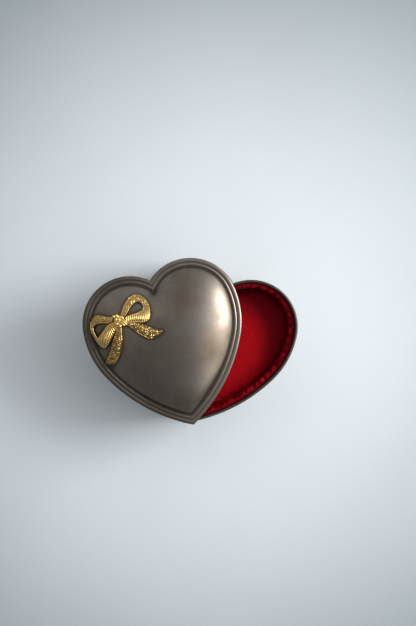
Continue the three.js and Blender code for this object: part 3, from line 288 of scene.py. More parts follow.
class DomeHeight:
    """A smooth swell over a heart: its height at any points, from base at the edge to base + rise."""

    FULL, POWER = 0.94, 1.2  # the section is the curve x**POWER + z**2 = 1, as far out as x = FULL
    SOFT_FROM, SOFT_OVER = 14 * MM, 22 * MM  # where it begins to soften, from the tip, and over what length
    AT_ONCE = 4000  # points measured together, to spare memory

    def __init__(self, sizes, inset, base, rise, softness):
        self.edge = heart(sizes, inset, (120, 40, 80))
        self.base, self.rise, self.softness = base, rise, softness
        middle = (self.edge.min(axis=0) + self.edge.max(axis=0)) / 2
        # The deepest place is looked for along a cross over the middle.
        span = np.ptp(self.edge, axis=0) * np.linspace(-0.25, 0.25, 25)[:, None]
        self.deepest = self.depths(np.vstack([middle + span * [1, 0], middle + span * [0, 1]])).max(axis=1)

    def depths(self, points):
        """Two smooth measures of how far inside the edge each point lies, one fuller and one rounder.

        With r the distance to the edge in a direction, the first comes from the sum of 1 / r over all
        directions and the second from that of 1 / r**2. Both are the true distance beside a straight edge."""
        out = []
        for some in np.array_split(np.asarray(points, float), max(1, len(points) // self.AT_ONCE)):
            away = self.edge[None, :, :] - some[:, None, :]
            far = np.maximum(np.hypot(away[..., 0], away[..., 1]), 1e-9)
            after, far_after = np.roll(away, -1, axis=1), np.roll(far, -1, axis=1)
            side = after - away
            run = np.hypot(side[..., 0], side[..., 1])
            across = away[..., 0] * after[..., 1] - away[..., 1] * after[..., 0]
            along = far * far_after + (away * after).sum(axis=-1)
            fuller = (across / np.maximum(along, 1e-12) * (1 / far + 1 / far_after)).sum(axis=1)
            high = across / run
            high = np.where(np.abs(high) < 1e-7, 1e-7, high)
            start, end = (away * side).sum(axis=-1) / run, (after * side).sum(axis=-1) / run
            rounder = end / far_after**2 - start / far**2
            rounder = (rounder + (np.arctan(end / high) - np.arctan(start / high)) / high) / (2 * high)
            rounder = np.abs((rounder * np.sign(across.sum(axis=1))[:, None]).sum(axis=1))
            rounder = np.sqrt(math.pi / 2 / np.maximum(rounder, 1e-3))
            out.append([2 / np.maximum(np.abs(fuller), 1e-3), rounder])
        return np.hstack(out)

    def __call__(self, points):
        fuller, rounder = np.clip(self.depths(points) / self.deepest[:, None], 0, 1)
        steep = math.sqrt(1 - self.FULL**self.POWER)
        full = (np.sqrt(1 - (self.FULL * (1 - fuller)) ** self.POWER) - steep) / (1 - steep)
        t = np.clip((np.asarray(points, float)[:, 1] - self.SOFT_FROM) / self.SOFT_OVER, 0, 1)
        soft = self.softness * t * t * (3 - 2 * t)
        return self.base + self.rise * (full + (rounder - full) * soft)


# ------------ meshes


def at_height(ring, z):
    """A ring of (x, y) as points at one height, or at a height each."""
    return np.column_stack([ring, np.broadcast_to(z, len(ring))])


def running(steps):
    """The sum of the steps before each place, from 0."""
    return np.concatenate([[0], np.cumsum(steps)])


def ring_faces(rings, size, joined=False):
    """Quads between rings of the same size, the last ring joined to the first if asked."""
    faces = []
    for ring in range(rings if joined else rings - 1):
        here, there = ring * size, ((ring + 1) % rings) * size
        for i in range(size):
            j = (i + 1) % size
            faces.append((here + i, here + j, there + j, there + i))
    return faces


def new_mesh(name, points, faces):
    mesh = bpy.data.meshes.new(name)
    mesh.from_pydata([tuple(p) for p in points], [], faces)
    return mesh


def mesh_from(name, work):
    """A new mesh from a bmesh, which is let go."""
    mesh = bpy.data.meshes.new(name)
    work.to_mesh(mesh)
    work.free()
    return mesh


def cleaned(mesh):
    """The mesh with points that lie together joined, and every face turned outwards."""
    work = bmesh.new()
    work.from_mesh(mesh)
    bmesh.ops.remove_doubles(work, verts=work.verts, dist=1e-7)
    bmesh.ops.recalc_face_normals(work, faces=work.faces)
    work.to_mesh(mesh)
    work.free()
    return mesh


def worked(data, prepare=None):
    """The mesh that a mesh or a curve becomes, once prepare has given its object modifiers."""
    made = linked("worked", data)
    if prepare:
        prepare(made)
    bpy.context.view_layer.update()
    result = bpy.data.meshes.new_from_object(made.evaluated_get(bpy.context.evaluated_depsgraph_get()))
    bpy.data.objects.remove(made)
    return result


def modified(data, kind, **settings):
    """The mesh under one modifier with these settings."""

    def prepare(made):
        modifier = made.modifiers.new(kind, kind)
        for name, value in settings.items():
            setattr(modifier, name, value)

    return worked(data, prepare)


def linked(name, data):
    made = bpy.data.objects.new(name, data)
    bpy.context.scene.collection.objects.link(made)
    return made


def keep_mask(mesh, name, values):
    """Values kept on the mesh's points, for the shaders."""
    mask = mesh.attributes.get(name) or mesh.attributes.new(name, "FLOAT", "POINT")
    mask.data.foreach_set("value", np.asarray(values, np.float32))


def settled(name, mesh, look, body, sharp=35.0):
    """A smooth-shaded object of the mesh, with its finish on, that rides on a body."""
    made = linked(name, mesh)
    mesh.materials.clear()
    mesh.materials.append(finish(look))
    mesh.shade_smooth()
    mesh.set_sharp_from_angle(angle=math.radians(sharp))
    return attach(made, body)


def piece(name, points, faces, place, look, body, sharp=35.0, masks=None):
    """A piece from points and faces, moved to its place. Masks are values kept on its points."""
    mesh = new_mesh(name, points, faces)
    for mask, values in (masks or {}).items():
        keep_mask(mesh, mask, values)
    cleaned(mesh).transform(place)
    return settled(name, mesh, look, body, sharp)


def in_mm(*corners):
    return [(x * MM, y * MM) for x, y in corners]


def middle_of(node):
    """The middle of a packed node, seen from above, and its lowest and highest corners."""
    low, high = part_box(node)
    return (low.x + high.x) / 2, (low.y + high.y) / 2, low, high


def circle(x, y, radius, count=40):
    turns = np.linspace(0, 2 * math.pi, count, endpoint=False)
    return np.column_stack([x + radius * np.cos(turns), y + radius * np.sin(turns)])


def lathe(profile, sides):
    """Points and faces of a profile of (radius, height) turned about Z, closed where it meets the axis."""
    turns = np.linspace(0, 2 * math.pi, sides, endpoint=False)
    points = [(r * math.cos(t), r * math.sin(t), z) for r, z in profile for t in turns]
    return points, ring_faces(len(profile), sides)


def rounded(corners, radius, steps=4):
    """A profile whose inner corners are rounded: each is replaced by a short arc-like curve."""
    path = [np.array(p, float) for p in corners]
    out = [path[0]]
    for before, here, after in zip(path, path[1:], path[2:]):
        to, on = before - here, after - here
        reach = min(radius, 0.45 * np.linalg.norm(to), 0.45 * np.linalg.norm(on))
        start = here + to / np.linalg.norm(to) * reach
        end = here + on / np.linalg.norm(on) * reach
        for t in np.linspace(0, 1, steps + 1):
            out.append((1 - t) ** 2 * start + 2 * t * (1 - t) * here + t * t * end)
    return [*out, path[-1]]


def half_round(start, end, rise, steps):
    """Points of a half-round moulding that stands over the line from start to end."""
    start, end = np.array(start, float), np.array(end, float)
    turns = np.linspace(0, math.pi, steps + 1)
    along = (1 - np.cos(turns)) / 2
    return [start + (end - start) * a + np.array([0.0, rise * math.sin(t)]) for a, t in zip(along, turns)]


def plate(name, outline, holes, low, high, place, look, body, edge=0.15 * MM):
    """A flat plate with a bevelled edge, cut by round holes of (x, y, radius)."""
    curve = bpy.data.curves.new(name, "CURVE")
    curve.dimensions = "2D"
    curve.fill_mode = "BOTH"
    curve.extrude = (high - low) / 2 - edge
    curve.bevel_depth = edge
    curve.bevel_resolution = 1
    curve.offset = -edge
    for ring in [np.asarray(outline), *(circle(*hole) for hole in holes)]:
        spline = curve.splines.new("POLY")
        spline.points.add(len(ring) - 1)
        weighted = np.column_stack([at_height(ring, 0.0), np.ones(len(ring))])
        spline.points.foreach_set("co", weighted.ravel())
        spline.use_cyclic_u = True
    mesh = worked(curve)
    mesh.transform(place @ Matrix.Translation((0.0, 0.0, (low + high) / 2)))
    return settled(name, mesh, look, body)


def dressed(node, look, body, bevel=0.12 * MM, sharp=35.0):
    """A packed node with its facets merged, its edges softened and its finish on."""
    work = bmesh.new()
    work.from_mesh(frame["nodes"][node].data)
    bmesh.ops.remove_doubles(work, verts=work.verts, dist=2e-6)
    bmesh.ops.dissolve_limit(
        work, angle_limit=math.radians(1.5), verts=work.verts, edges=work.edges, use_dissolve_boundaries=False
    )
    edges = [
        edge
        for edge in work.edges
        if len(edge.link_faces) == 2
        and edge.calc_face_angle(0) > math.radians(sharp)
        and edge.calc_length() > 2.5 * bevel
    ]
    if bevel > 0:
        bmesh.ops.bevel(
            work, geom=edges, offset=bevel, segments=2, profile=0.5, affect="EDGES", clamp_overlap=True
        )
    made = settled(node + "_finished", mesh_from(node, work), look, body, sharp)
    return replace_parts(made, node)


# ------------ shader building

NUMBER, TINT, ARROW = "NodeSocketFloat", "NodeSocketColor", "NodeSocketVector"


class Value:
    """A node's output that can be reckoned with, so that a shader reads as a formula."""

    def __init__(self, socket):
        self.socket, self.tree = socket, socket.id_data

    def maths(self, operation, *others):
        made = self.tree.nodes.new("ShaderNodeMath")
        made.operation = operation
        for socket, value in zip(made.inputs, (self, *others)):
            put(socket, value)
        return Value(made.outputs[0])

    def __add__(self, other):
        return self.maths("ADD", other)

    def __mul__(self, other):
        return self.maths("MULTIPLY", other)

    def __sub__(self, other):
        return self.maths("SUBTRACT", other)

    def __truediv__(self, other):
        return self.maths("DIVIDE", other)

    def clamped(self):
        return new_node(self.tree, "ShaderNodeClamp", {"Value": self})

    def ramp(self, low, high):
        """Carried from low..high to 0..1, smoothly."""
        settings = {"Value": self, "From Min": low, "From Max": high}
        return new_node(self.tree, "ShaderNodeMapRange", settings, interpolation_type="SMOOTHSTEP")

    def grain(self, scale, detail=4.0, roughness=0.55, stretch=None):
        """Noise at these coordinates, of so many cycles a metre."""
        place = self
        if stretch:
            place = new_node(self.tree, "ShaderNodeMapping", {"Vector": self, "Scale": stretch})
        inputs = {"Vector": place, "Scale": scale, "Detail": detail, "Roughness": roughness}
        return new_node(self.tree, "ShaderNodeTexNoise", inputs)

    def along(self, operation, vector):
        """These coordinates taken along a vector, or their distance from it."""
        return new_node(self.tree, "ShaderNodeVectorMath", {0: self, 1: vector}, "Value", operation=operation)


def put(socket, value):
    """Sets a socket to a constant, or links a value to it."""
    if isinstance(value, Value):
        value.tree.links.new(value.socket, socket)
    elif socket.type == "RGBA" and len(value) == 3:
        socket.default_value = (*value, 1.0)
    else:
        socket.default_value = value


def new_node(tree, kind, inputs=None, output=0, **settings):
    """A shader node with its settings and inputs. Gives back one of its outputs."""
    made = tree.nodes.new(kind)
    for name, value in settings.items():
        setattr(made, name, value)
    for name, value in (inputs or {}).items():
        put(made.inputs[name], value)
    return Value(made.outputs[output])


def mixed(factor, first, second, blend="MIX"):
    """The mix of two colours."""
    tree = next(value.tree for value in (factor, first, second) if isinstance(value, Value))
    inputs = {0: factor, 6: first, 7: second}
    settings = {"data_type": "RGBA", "blend_type": blend, "clamp_result": False}
    return new_node(tree, "ShaderNodeMix", inputs, 2, **settings)


def mask_on(tree, name):
    """A value kept on the mesh's points."""
    return new_node(tree, "ShaderNodeAttribute", None, "Fac", attribute_name=name)


def new_group(name, inputs, outputs):
    """A shader node group with its sockets. Inputs are (name, socket type, default)."""
    tree = bpy.data.node_groups.new(name, "ShaderNodeTree")
    for label, kind, default in inputs:
        socket = tree.interface.new_socket(name=label, in_out="INPUT", socket_type=kind)
        if default is not None:
            socket.default_value = (*default, 1.0) if kind == TINT else default
    for label, kind in outputs:
        tree.interface.new_socket(name=label, in_out="OUTPUT", socket_type=kind)
    given = {socket.name: Value(socket) for socket in tree.nodes.new("NodeGroupInput").outputs if socket.name}
    return given, tree.nodes.new("NodeGroupOutput").inputs


def patina_group(name):
    """Metal under a film: clouds of tarnish, spots, dirt in the hollows and rubbed crests. The hollow mask
    also carries painted shade, in the dirt colour.
    """
    inputs = [
        ("Vector", ARROW, None),
        ("Clean", TINT, (0.5, 0.5, 0.5)),
        ("Film", TINT, (0.2, 0.2, 0.2)),
        ("Dirt_And_Shade", TINT, (0.02, 0.02, 0.02)),
        ("Amount", NUMBER, 0.5),
        ("Hollow", NUMBER, 0.0),
        ("Rubbed", NUMBER, 0.0),
    ]
    given, out = new_group(name, inputs, [("Color", TINT), ("Roughness", NUMBER)])
    place, clean, hollow, rubbed = (given[label] for label in ("Vector", "Clean", "Hollow", "Rubbed"))
    clouds = place.grain(38.0, 5.0, 0.6)
    spots = place.grain(260.0, 3.0, 0.7)
    film = clouds.ramp(0.32, 0.68) * 0.8 + spots.ramp(0.55, 0.8) * 0.35
    film = (film * given["Amount"] - rubbed * 0.6).clamped()
    warm = place.grain(21.0, 3.0, 0.5).ramp(0.42, 0.66) * given["Amount"]
    tint = mixed(warm, mixed(film, clean, given["Film"]), (1.0, 0.88, 0.68), "MULTIPLY")
    worn = mixed(1.0, clean, (1.6, 1.6, 1.6), "MULTIPLY")
    tint = mixed(rubbed * 0.75, tint, worn)
    put(out["Color"], mixed(hollow * 0.8, tint, given["Dirt_And_Shade"]))
    put(out["Roughness"], film * 0.10 + 0.27 + hollow * 0.25 + spots * 0.06)


WEAR = ("Scratches", "Pits", "Dents")


def wear_group(name):
    """Fine scratches, pits and long soft dents, as a height."""
    inputs = [("Vector", ARROW, None), *((label, NUMBER, 1.0) for label in WEAR)]
    given, out = new_group(name, inputs, [("Height", NUMBER)])
    place = given["Vector"]
    scratches = None
    for turn, stretch in ((0.5, 14.0), (-0.9, 18.0), (1.7, 11.0)):
        turned = new_node(
            place.tree, "ShaderNodeVectorRotate", {"Vector": place, "Angle": turn}, rotation_type="Z_AXIS"
        )
        line = turned.grain(160.0, 2.0, 0.5, (1.0, stretch, 1.0)).ramp(0.66, 0.74)
        scratches = scratches.maths("MAXIMUM", line) if scratches else line
    pits = place.grain(700.0, 2.0, 0.5).ramp(0.70, 0.82)
    dents = place.grain(55.0, 2.0, 0.5)
    height = scratches * given["Scratches"] * -0.12 + pits * given["Pits"] * -0.5
    put(out["Height"], height + dents * given["Dents"] * 3.0)


def cloth_group(name):
    """Ribbed satin: fine ribs along one axis, a close weave, and painted shade in the rib troughs and the
    folds.
    """
    inputs = [
        ("Vector", ARROW, None),
        ("Across", NUMBER, 0.0),
        ("Spacing", NUMBER, 1.5 * MM),
        ("Crest", TINT, (0.5, 0.0, 0.0)),
        ("Fold_Shade", TINT, (0.2, 0.0, 0.0)),
        ("Depth", NUMBER, 0.0),
    ]
    given, out = new_group(name, inputs, [("Color", TINT), ("Roughness", NUMBER), ("Height", NUMBER)])
    place = given["Vector"]
    turns = given["Across"] / given["Spacing"] + place.grain(60.0, 3.0, 0.5) * 0.9
    ribs = (turns * (2 * math.pi)).maths("SINE")
    weave = place.grain(5200.0, 1.0, 0.5, (1.0, 0.35, 1.0))
    put(out["Height"], weave * 0.25 + ribs * 0.5)
    # Painted shade: rib troughs and the Depth mask darken the satin towards the fold red.
    shade = ribs * -0.16 + 0.22 + given["Depth"] * 0.8 + place.grain(160.0, 3.0, 0.6) * 0.25
    put(out["Color"], mixed(shade.clamped(), given["Crest"], given["Fold_Shade"]))
    put(out["Roughness"], weave * 0.2 + 0.36)


EFFECTS = {"Patina": patina_group, "Small wear": wear_group, "Ribbed satin": cloth_group}


def effect(tree, name, inputs):
    """A node of a shared effect, whose group is built the first time. Gives back its outputs by name."""
    if name not in bpy.data.node_groups:
        EFFECTS[name](name)
    made = tree.nodes.new("ShaderNodeGroup")
    made.node_tree = bpy.data.node_groups[name]
    for label, value in inputs.items():
        put(made.inputs[label], value)
    return {socket.name: Value(socket) for socket in made.outputs}


# ------------ the materials


class Surface:
    """A new material with a Principled shader, and the object's own coordinates."""

    def __init__(self, name):
        self.material = bpy.data.materials.new(name)
        self.material.use_nodes = True
        self.tree = self.material.node_tree
        self.place = new_node(self.tree, "ShaderNodeTexCoord", None, "Object")

    def set(self, inputs):
        """Sets or links sockets of the Principled shader, by name."""
        for name, value in inputs.items():
            put(self.tree.nodes["Principled BSDF"].inputs[name], value)

    def bump(self, height, distance):
        """Height into the shader's normal: distance is what a height of 1 stands for."""
        inputs = {"Height": height, "Strength": 1.0, "Distance": distance}
        self.set({"Normal": new_node(self.tree, "ShaderNodeBump", inputs)})
        return self.material


def plated(name, clean, film, dirt_and_shade, amount, lift, masked):
    """Metal under a patina. Lift roughens or polishes the whole."""
    made = Surface(name)
    inputs = {"Vector": made.place, "Clean": clean, "Film": film, "Dirt_And_Shade": dirt_and_shade, "Amount": amount}
    for label in ("Hollow", "Rubbed"):
        inputs[label] = mask_on(made.tree, label.lower()) if masked else 0.0
    patina = effect(made.tree, "Patina", inputs)
    made.set({"Base Color": patina["Color"], "Roughness": patina["Roughness"] + lift, "Metallic": 1.0})
    return made


# Each metal's clean colour and film, amount of film, scratches, pits and dents, lift, and whether masked.
METALS = {
    "aged silver": ("silver", "tarnish", 0.85, (1.0, 1.0, 0.5), 0.02, True),
    "inner silver": ("silver", "tarnish", 1.0, (0.4, 1.0, 0.6), 0.12, False),
    "steel": ("steel", "steel_film", 0.4, (0.8, 0.3, 0.0), 0.0, False),
    "brass": ("brass", "brass_film", 0.5, (0.7, 0.3, 0.0), 0.0, False),
    "zinc": ("zinc", "zinc_film", 0.8, (0.3, 1.0, 0.3), 0.12, False),
}


def metal(name, sizes):
    """Any plain metal, with small wear in it."""
    clean, film, amount, wear, lift, masked = METALS[name]
    clean, film = getattr(sizes.tints, clean), getattr(sizes.tints, film)
    made = plated(name, clean, film, sizes.tints.silver_dirt_and_shade, amount, lift, masked)
    inputs = {"Vector": made.place, **dict(zip(WEAR, wear))}
    return made.bump(effect(made.tree, "Small wear", inputs)["Height"], 0.01 * MM)


def cast_gold(name, sizes):
    """Cast gilt metal: bright on the rubbed crests, dark in the hollows, with painted shade where the masks
    carry it, and a fine burnished grain.
    """
    gold, old_gold = sizes.tints.gold, sizes.tints.old_gold
    made = plated(name, gold, old_gold, [0.2 * c for c in old_gold], 0.36, -0.06, True)
    cells = new_node(made.tree, "ShaderNodeTexVoronoi", {"Vector": made.place, "Scale": 1900.0}, "Distance")
    rough = made.place.grain(2600.0, 3.0, 0.6) * 0.5 + cells
    return made.bump(rough * mask_on(made.tree, "hammered"), 0.10 * MM)


def ribbed_satin(name, sizes):
    """Red satin with ribs round the wall or across the floor, soft and shiny."""
    made, tints = Surface(name), sizes.tints
    axis, rib_depth = ("Z", 0.05 * MM) if name == "lining satin" else ("Y", 0.14 * MM)
    inputs = {
        "Vector": made.place,
        "Across": new_node(made.tree, "ShaderNodeSeparateXYZ", {"Vector": made.place}, axis),
        "Spacing": sizes.satin.rib_spacing,
        # Painted shade: the shaded mask turns the satin to its painted shadow red.
        "Crest": mixed(mask_on(made.tree, "shaded"), tints.satin, tints.satin_painted_shade),
        "Fold_Shade": tints.satin_fold_shade,
        "Depth": mask_on(made.tree, "hollow"),
    }
    cloth = effect(made.tree, "Ribbed satin", inputs)
    made.set({"Base Color": cloth["Color"], "Roughness": cloth["Roughness"]})
    made.set({"Sheen Weight": 0.12, "Sheen Roughness": 0.3, "Sheen Tint": (1.0, 0.04, 0.05)})
    made.set({"Specular IOR Level": 0.5, "Specular Tint": (1.0, 0.05, 0.06)})
    return made.bump(cloth["Height"], rib_depth)


def papered_card(name, sizes):
    """Card under dark red paper, with a fibrous face."""
    made, tint = Surface(name), sizes.tints.card
    fibres = made.place.grain(900.0, 4.0, 0.7, (1.0, 4.0, 1.0))
    tint = mixed(fibres, [0.6 * c for c in tint], tint)
    made.set({"Base Color": tint, "Roughness": fibres * 0.15 + 0.78, "Specular IOR Level": 0.0})
    return made.bump(fibres, 0.03 * MM)


def moulded_plastic(name, sizes):
    """White moulded plastic, a little yellowed."""
    made, tint = Surface(name), sizes.tints.plastic
    clouds = made.place.grain(300.0, 3.0, 0.6)
    yellowed = [c * fade for c, fade in zip(tint, (0.72, 0.66, 0.52))]
    tint = mixed(clouds.ramp(0.45, 0.8), tint, yellowed)
    made.set({"Base Color": tint, "Roughness": clouds * 0.2 + 0.35})
    return made.bump(made.place.grain(1500.0, 2.0), 0.01 * MM)


LOOKS = {
    **dict.fromkeys(METALS, metal),
    "cast gold": cast_gold,
    "lining satin": ribbed_satin,
    "pad satin": ribbed_satin,
    "card": papered_card,
    "white plastic": moulded_plastic,
}


def finish(look):
    """The material of this name, made once."""
    return bpy.data.materials.get(look) or LOOKS[look](look, bpy.context.scene.music_box)


# ------------ the lid


def lid_section(lid):
    """The lid's border from under the dome, round the edge and in to the dome: inset, height, masks."""
    thick, groove = lid.flange_thickness, lid.flange_thickness - lid.groove_depth
    edge = 0.35 * MM
    under = [(dome_inset(lid) + lid.sheet, 0.0), (dome_inset(lid), 0.0), (edge * 2, 0.0), (0.0, 0.0)]
    under.append((0.0, groove))
    # Painted shade: the outside of the lid's edge is darkened, standing in for the shaded floor it reflects.
    # The underside is darkened a little.
    section = [(inset, z, 0.75 if z > 0 else 0.2, 0.0) for inset, z in rounded(under, edge, 4)]
    start, end = (0.0, groove - 0.25 * MM), (lid.flange_width, groove + 0.1 * MM)
    for inset, z in half_round(start, end, thick - groove + 0.07 * MM, 12)[1:]:
        over = max(0.0, (z - groove + 0.2 * MM) / (thick - groove + 0.2 * MM))
        section.append((inset, z, max(0.0, 0.2 - 0.4 * over), 0.35 * over))
    start = lid.flange_width + lid.groove_width
    end = start + lid.bead_width
    for inset in (lid.flange_width + 0.12 * MM, start - 0.17 * MM):
        section.append((inset, groove + 0.07 * MM, 0.15, 0.0))
    for inset, z in half_round((start - 0.08 * MM, groove + 0.08 * MM), (end, groove), lid.bead_rise, 14):
        over = (z - groove) / lid.bead_rise
        section.append((inset, z, max(0.0, 0.25 - 0.6 * over), 0.5 * max(0.0, over) ** 2))
    section.append((end + 0.12 * MM, groove - 0.06 * MM, 0.3, 0.0))
    section.append((end + 0.3 * MM, groove - 0.05 * MM, 0.3, 0.0))
    return section


def dome_height(sizes):
    """The dome's outer surface, over the lid's underside."""
    lid = sizes.lid
    base, rise = lid.flange_thickness - lid.groove_depth, lid.dome_rise + lid.groove_depth
    return DomeHeight(sizes.heart, dome_inset(lid), base, rise, lid.softness)


def lid_mesh(sizes):
    """Points, faces and masks of the whole lid shell: underside, border and dome."""
    lid, inset = sizes.lid, dome_inset(sizes.lid)
    rise = lid.dome_rise + lid.flange_thickness - lid.sheet
    lower, upper = DomeHeight(sizes.heart, inset + lid.sheet, 0.0, rise, lid.softness), dome_height(sizes)
    pulls = np.linspace(0, 1, 72)[:-1] ** 1.6
    rings, hollow, rubbed = [], [], []

    def add(ring, heights, dark, bright=0.0):
        rings.append(at_height(ring, heights))
        hollow.append(dark)
        rubbed.append(bright)

    def dome(inset, surface, pull):
        ring = dome_ring(heart(sizes.heart, inset), lid, pull)
        return ring, surface(ring) if pull > 0 else surface.base

    for pull in pulls[::-1]:
        add(*dome(inset + lid.sheet, lower, pull), 0.15)
    for out, z, dark, bright in lid_section(lid)[1:]:
        add(heart(sizes.heart, out), z, dark, bright)
    for i, pull in enumerate(pulls):
        add(*dome(inset, upper, pull), max(0.0, 0.2 - 0.1 * i))
    size = len(rings[0])
    points = np.vstack(rings)
    faces = ring_faces(len(rings), size)
    crown = [[0, lid.crown_y]]
    first, end = len(points), len(points) - size
    for i in range(size):
        j = (i + 1) % size
        faces += [(first, j, i), (first + 1, end + i, end + j)]
    points = np.vstack([points, [[0, lid.crown_y, surface(crown)[0]] for surface in (lower, upper)]])
    masks = {
        "hollow": np.append(np.repeat(hollow, size), [0.15, 0.0]),
        "rubbed": np.append(np.repeat(rubbed, size), [0.0, 0.0]),
    }
    # Painted shade: the border is darker towards its left side, away from the light, and its crests there are
    # less bright.
    shaded_left_side = np.clip(0.5 - points[:, 0] / lid.crown_width, 0, 1)
    inside = len(pulls) * size
    border = slice(inside, -inside - 2)
    masks["hollow"][border] = np.maximum(masks["hollow"], 0.62 * shaded_left_side)[border]
    masks["rubbed"][border] *= 1 - 0.85 * shaded_left_side[border]
    above = points[:, 2] > lid.flange_thickness
    above[:inside] = above[first] = False
    # Tarnish with painted contact shade on the dome beside the bow.
    masks["hollow"] = np.maximum(masks["hollow"], 0.85 * above * beside_bow(points, sizes.bow))
    return points, faces, masks


class MUSICBOX_OT_lid(bpy.types.Operator):
    """Build the domed heart lid with its mouldings, its pivot boss and its stop peg"""

    bl_idname = "musicbox.lid"
    bl_label = "Lid"

    def execute(self, context):
        sizes = context.scene.music_box
        points, faces, masks = lid_mesh(sizes)
        shell = piece(
            "lid_dome", points, faces, lid_place(sizes.lid), "aged silver", "lid", sharp=50.0, masks=masks
        )
        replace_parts(shell, "lid_shell")
        boss = in_mm((1.6, 0), (6.2, 0), (6.2, 0.95), (2.4, 1.05), (2.1, 2.2), (1.75, 3.2), (0, 3.25))
        socket = in_mm((0, 3.05), (1.6, 3.05), (1.6, 0))
        points, faces = lathe([*rounded(boss, 0.3 * MM, 3), *socket], 40)
        at_pivot = Matrix.Translation((PIVOT.x, PIVOT.y, LID_LOW.z))
        piece("lid_pivot_boss", points, faces, at_pivot, "inner silver", "lid")
        dressed("lid_stop_peg", "inner silver", "lid")
        return {"FINISHED"}


# ------------ the bow

# The stations of each ribbon, in millimetres from the knot: outer edge x and y, inner edge x and y, rise over
# the dome, and how far it is hammered and ribbed there.
RIGHT_LOOP = [
    (1.3, 3.2, 4.0, 1.8, 1.3, 0.3, 0),
    (3.4, 6.5, 6.4, 4.3, 1.4, 0.4, 0),
    (6.0, 9.6, 8.0, 5.9, 1.5, 0.45, 0),
    (9.2, 12.1, 10.1, 7.3, 1.6, 0.5, 0),
    (12.7, 12.9, 12.3, 8.0, 1.7, 0.6, 0),
    (16.0, 11.2, 14.1, 7.7, 1.85, 0.6, 0),
    (18.3, 8.0, 15.3, 6.3, 2.0, 0.6, 0),
    (19.3, 4.4, 15.7, 4.7, 2.2, 0.6, 0),
    (19.0, 1.0, 15.2, 3.3, 2.45, 0.4, 0.2),
    (17.9, -2.4, 14.0, 2.5, 2.6, 0, 0.6),
    (16.1, -4.4, 12.2, 2.1, 2.6, 0, 1),
    (13.5, -4.6, 10.2, 1.9, 2.5, 0, 1),
    (10.2, -3.7, 8.3, 1.9, 2.4, 0, 1),
    (7.2, -3.0, 6.1, 1.8, 2.3, 0, 0.9),
    (4.0, -2.8, 3.6, 1.4, 2.3, 0, 0.6),
]
LEFT_LOOP = [
    (-3.2, 3.6, -4.6, 0.8, 1.3, 0.4, 0),
    (-6.4, 4.7, -7.4, 0.9, 1.4, 0.5, 0),
    (-9.2, 6.2, -9.8, 1.8, 1.5, 0.6, 0),
    (-12.2, 7.4, -12.7, 2.4, 1.65, 0.6, 0),
    (-15.0, 7.0, -14.9, 2.3, 1.75, 0.5, 0),
    (-17.2, 4.9, -16.2, 1.5, 1.9, 0.3, 0),
    (-18.4, 2.0, -16.9, 0.2, 2.1, 0, 0),
    (-18.8, -1.1, -16.9, -1.6, 2.2, 0, 0),
    (-18.3, -4.2, -16.5, -3.8, 2.25, 0, 0),
    (-17.4, -7.2, -15.9, -5.4, 2.35, 0, 0.2),
    (-16.0, -10.3, -14.7, -5.0, 2.45, 0, 0.7),
    (-13.7, -12.6, -12.9, -3.6, 2.5, 0, 1),
    (-10.8, -11.2, -10.8, -2.1, 2.5, 0, 1),
    (-7.7, -8.2, -8.6, -0.6, 2.45, 0, 1),
    (-4.6, -5.1, -6.4, 0.2, 2.35, 0, 0.9),
    (-1.8, -2.6, -3.8, 0.6, 2.2, 0, 0.6),
]
LOWER_TAIL = [
    (-2.3, -1.6, 0.6, -2.2, 1.6, 0.5, 0),
    (-3.7, -4.3, -0.6, -6.0, 1.6, 0.7, 0),
    (-5.6, -7.2, -1.6, -10.4, 1.6, 0.9, 0),
    (-7.9, -10.6, -3.1, -14.4, 1.55, 1, 0),
    (-10.0, -13.9, -4.8, -17.6, 1.5, 1, 0),
    (-12.5, -17.0, -6.8, -20.3, 1.45, 1, 0),
    (-15.0, -19.8, -8.9, -22.1, 1.4, 1, 0),
    (-17.0, -21.9, -10.9, -23.0, 1.2, 0.8, 0),
]
RIGHT_TAIL = [
    (3.2, -0.6, 2.2, -2.4, 1.5, 0.5, 0),
    (6.6, -2.4, 4.9, -4.9, 1.5, 0.8, 0),
    (9.6, -3.6, 7.0, -7.7, 1.55, 1, 0),
    (12.5, -5.2, 8.9, -10.4, 1.6, 1, 0),
    (15.0, -7.3, 11.3, -12.9, 1.5, 1, 0),
    (17.6, -9.4, 13.9, -14.9, 1.45, 1, 0),
    (20.3, -11.4, 16.8, -15.1, 1.4, 0.9, 0),
    (23.3, -12.3, 20.9, -13.7, 1.2, 0.5, 0),
]
KNOT_BEADS = [(-2.6, 3.6), (-0.8, 3.5), (-1.9, 1.5), (-0.1, 0.9), (-1.9, -1.0), (-0.5, -2.7)]
KNOT_STRANDS = [(-1.15, 0.95), (0.0, 1.1), (1.1, 0.9)]
KNOT_TURN = math.radians(-53)


def through(values, count):
    """A smooth curve through evenly numbered stations, at count places."""
    stations = np.asarray(values, float)
    padded = np.vstack([2 * stations[:1] - stations[1:2], stations, 2 * stations[-1:] - stations[-2:-1]])
    where = np.linspace(0, len(stations) - 1 - 1e-9, count)
    index = where.astype(int)
    t = (where - index)[:, None]
    a, b, c, d = (padded[index + k] for k in range(4))
    return 0.5 * (2 * b + (c - a) * t + (2 * a - 5 * b + 4 * c - d) * t**2 + (3 * b - a - 3 * c + d) * t**3)


def hammer_marks(u, v, size, seed):
    """Rounded pebbles of a hammered casting, from 0 between them to 1 on top."""
    out = []
    for across in v:
        spot = Vector((u / size * 1.25, across / size * 0.85, seed))
        distances, _ = noise.voronoi(spot)
        out.append(min(1.0, (distances[1] - distances[0]) * 2.2) * (0.75 + 0.25 * noise.noise(spot * 3.0)))
    return np.array(out)


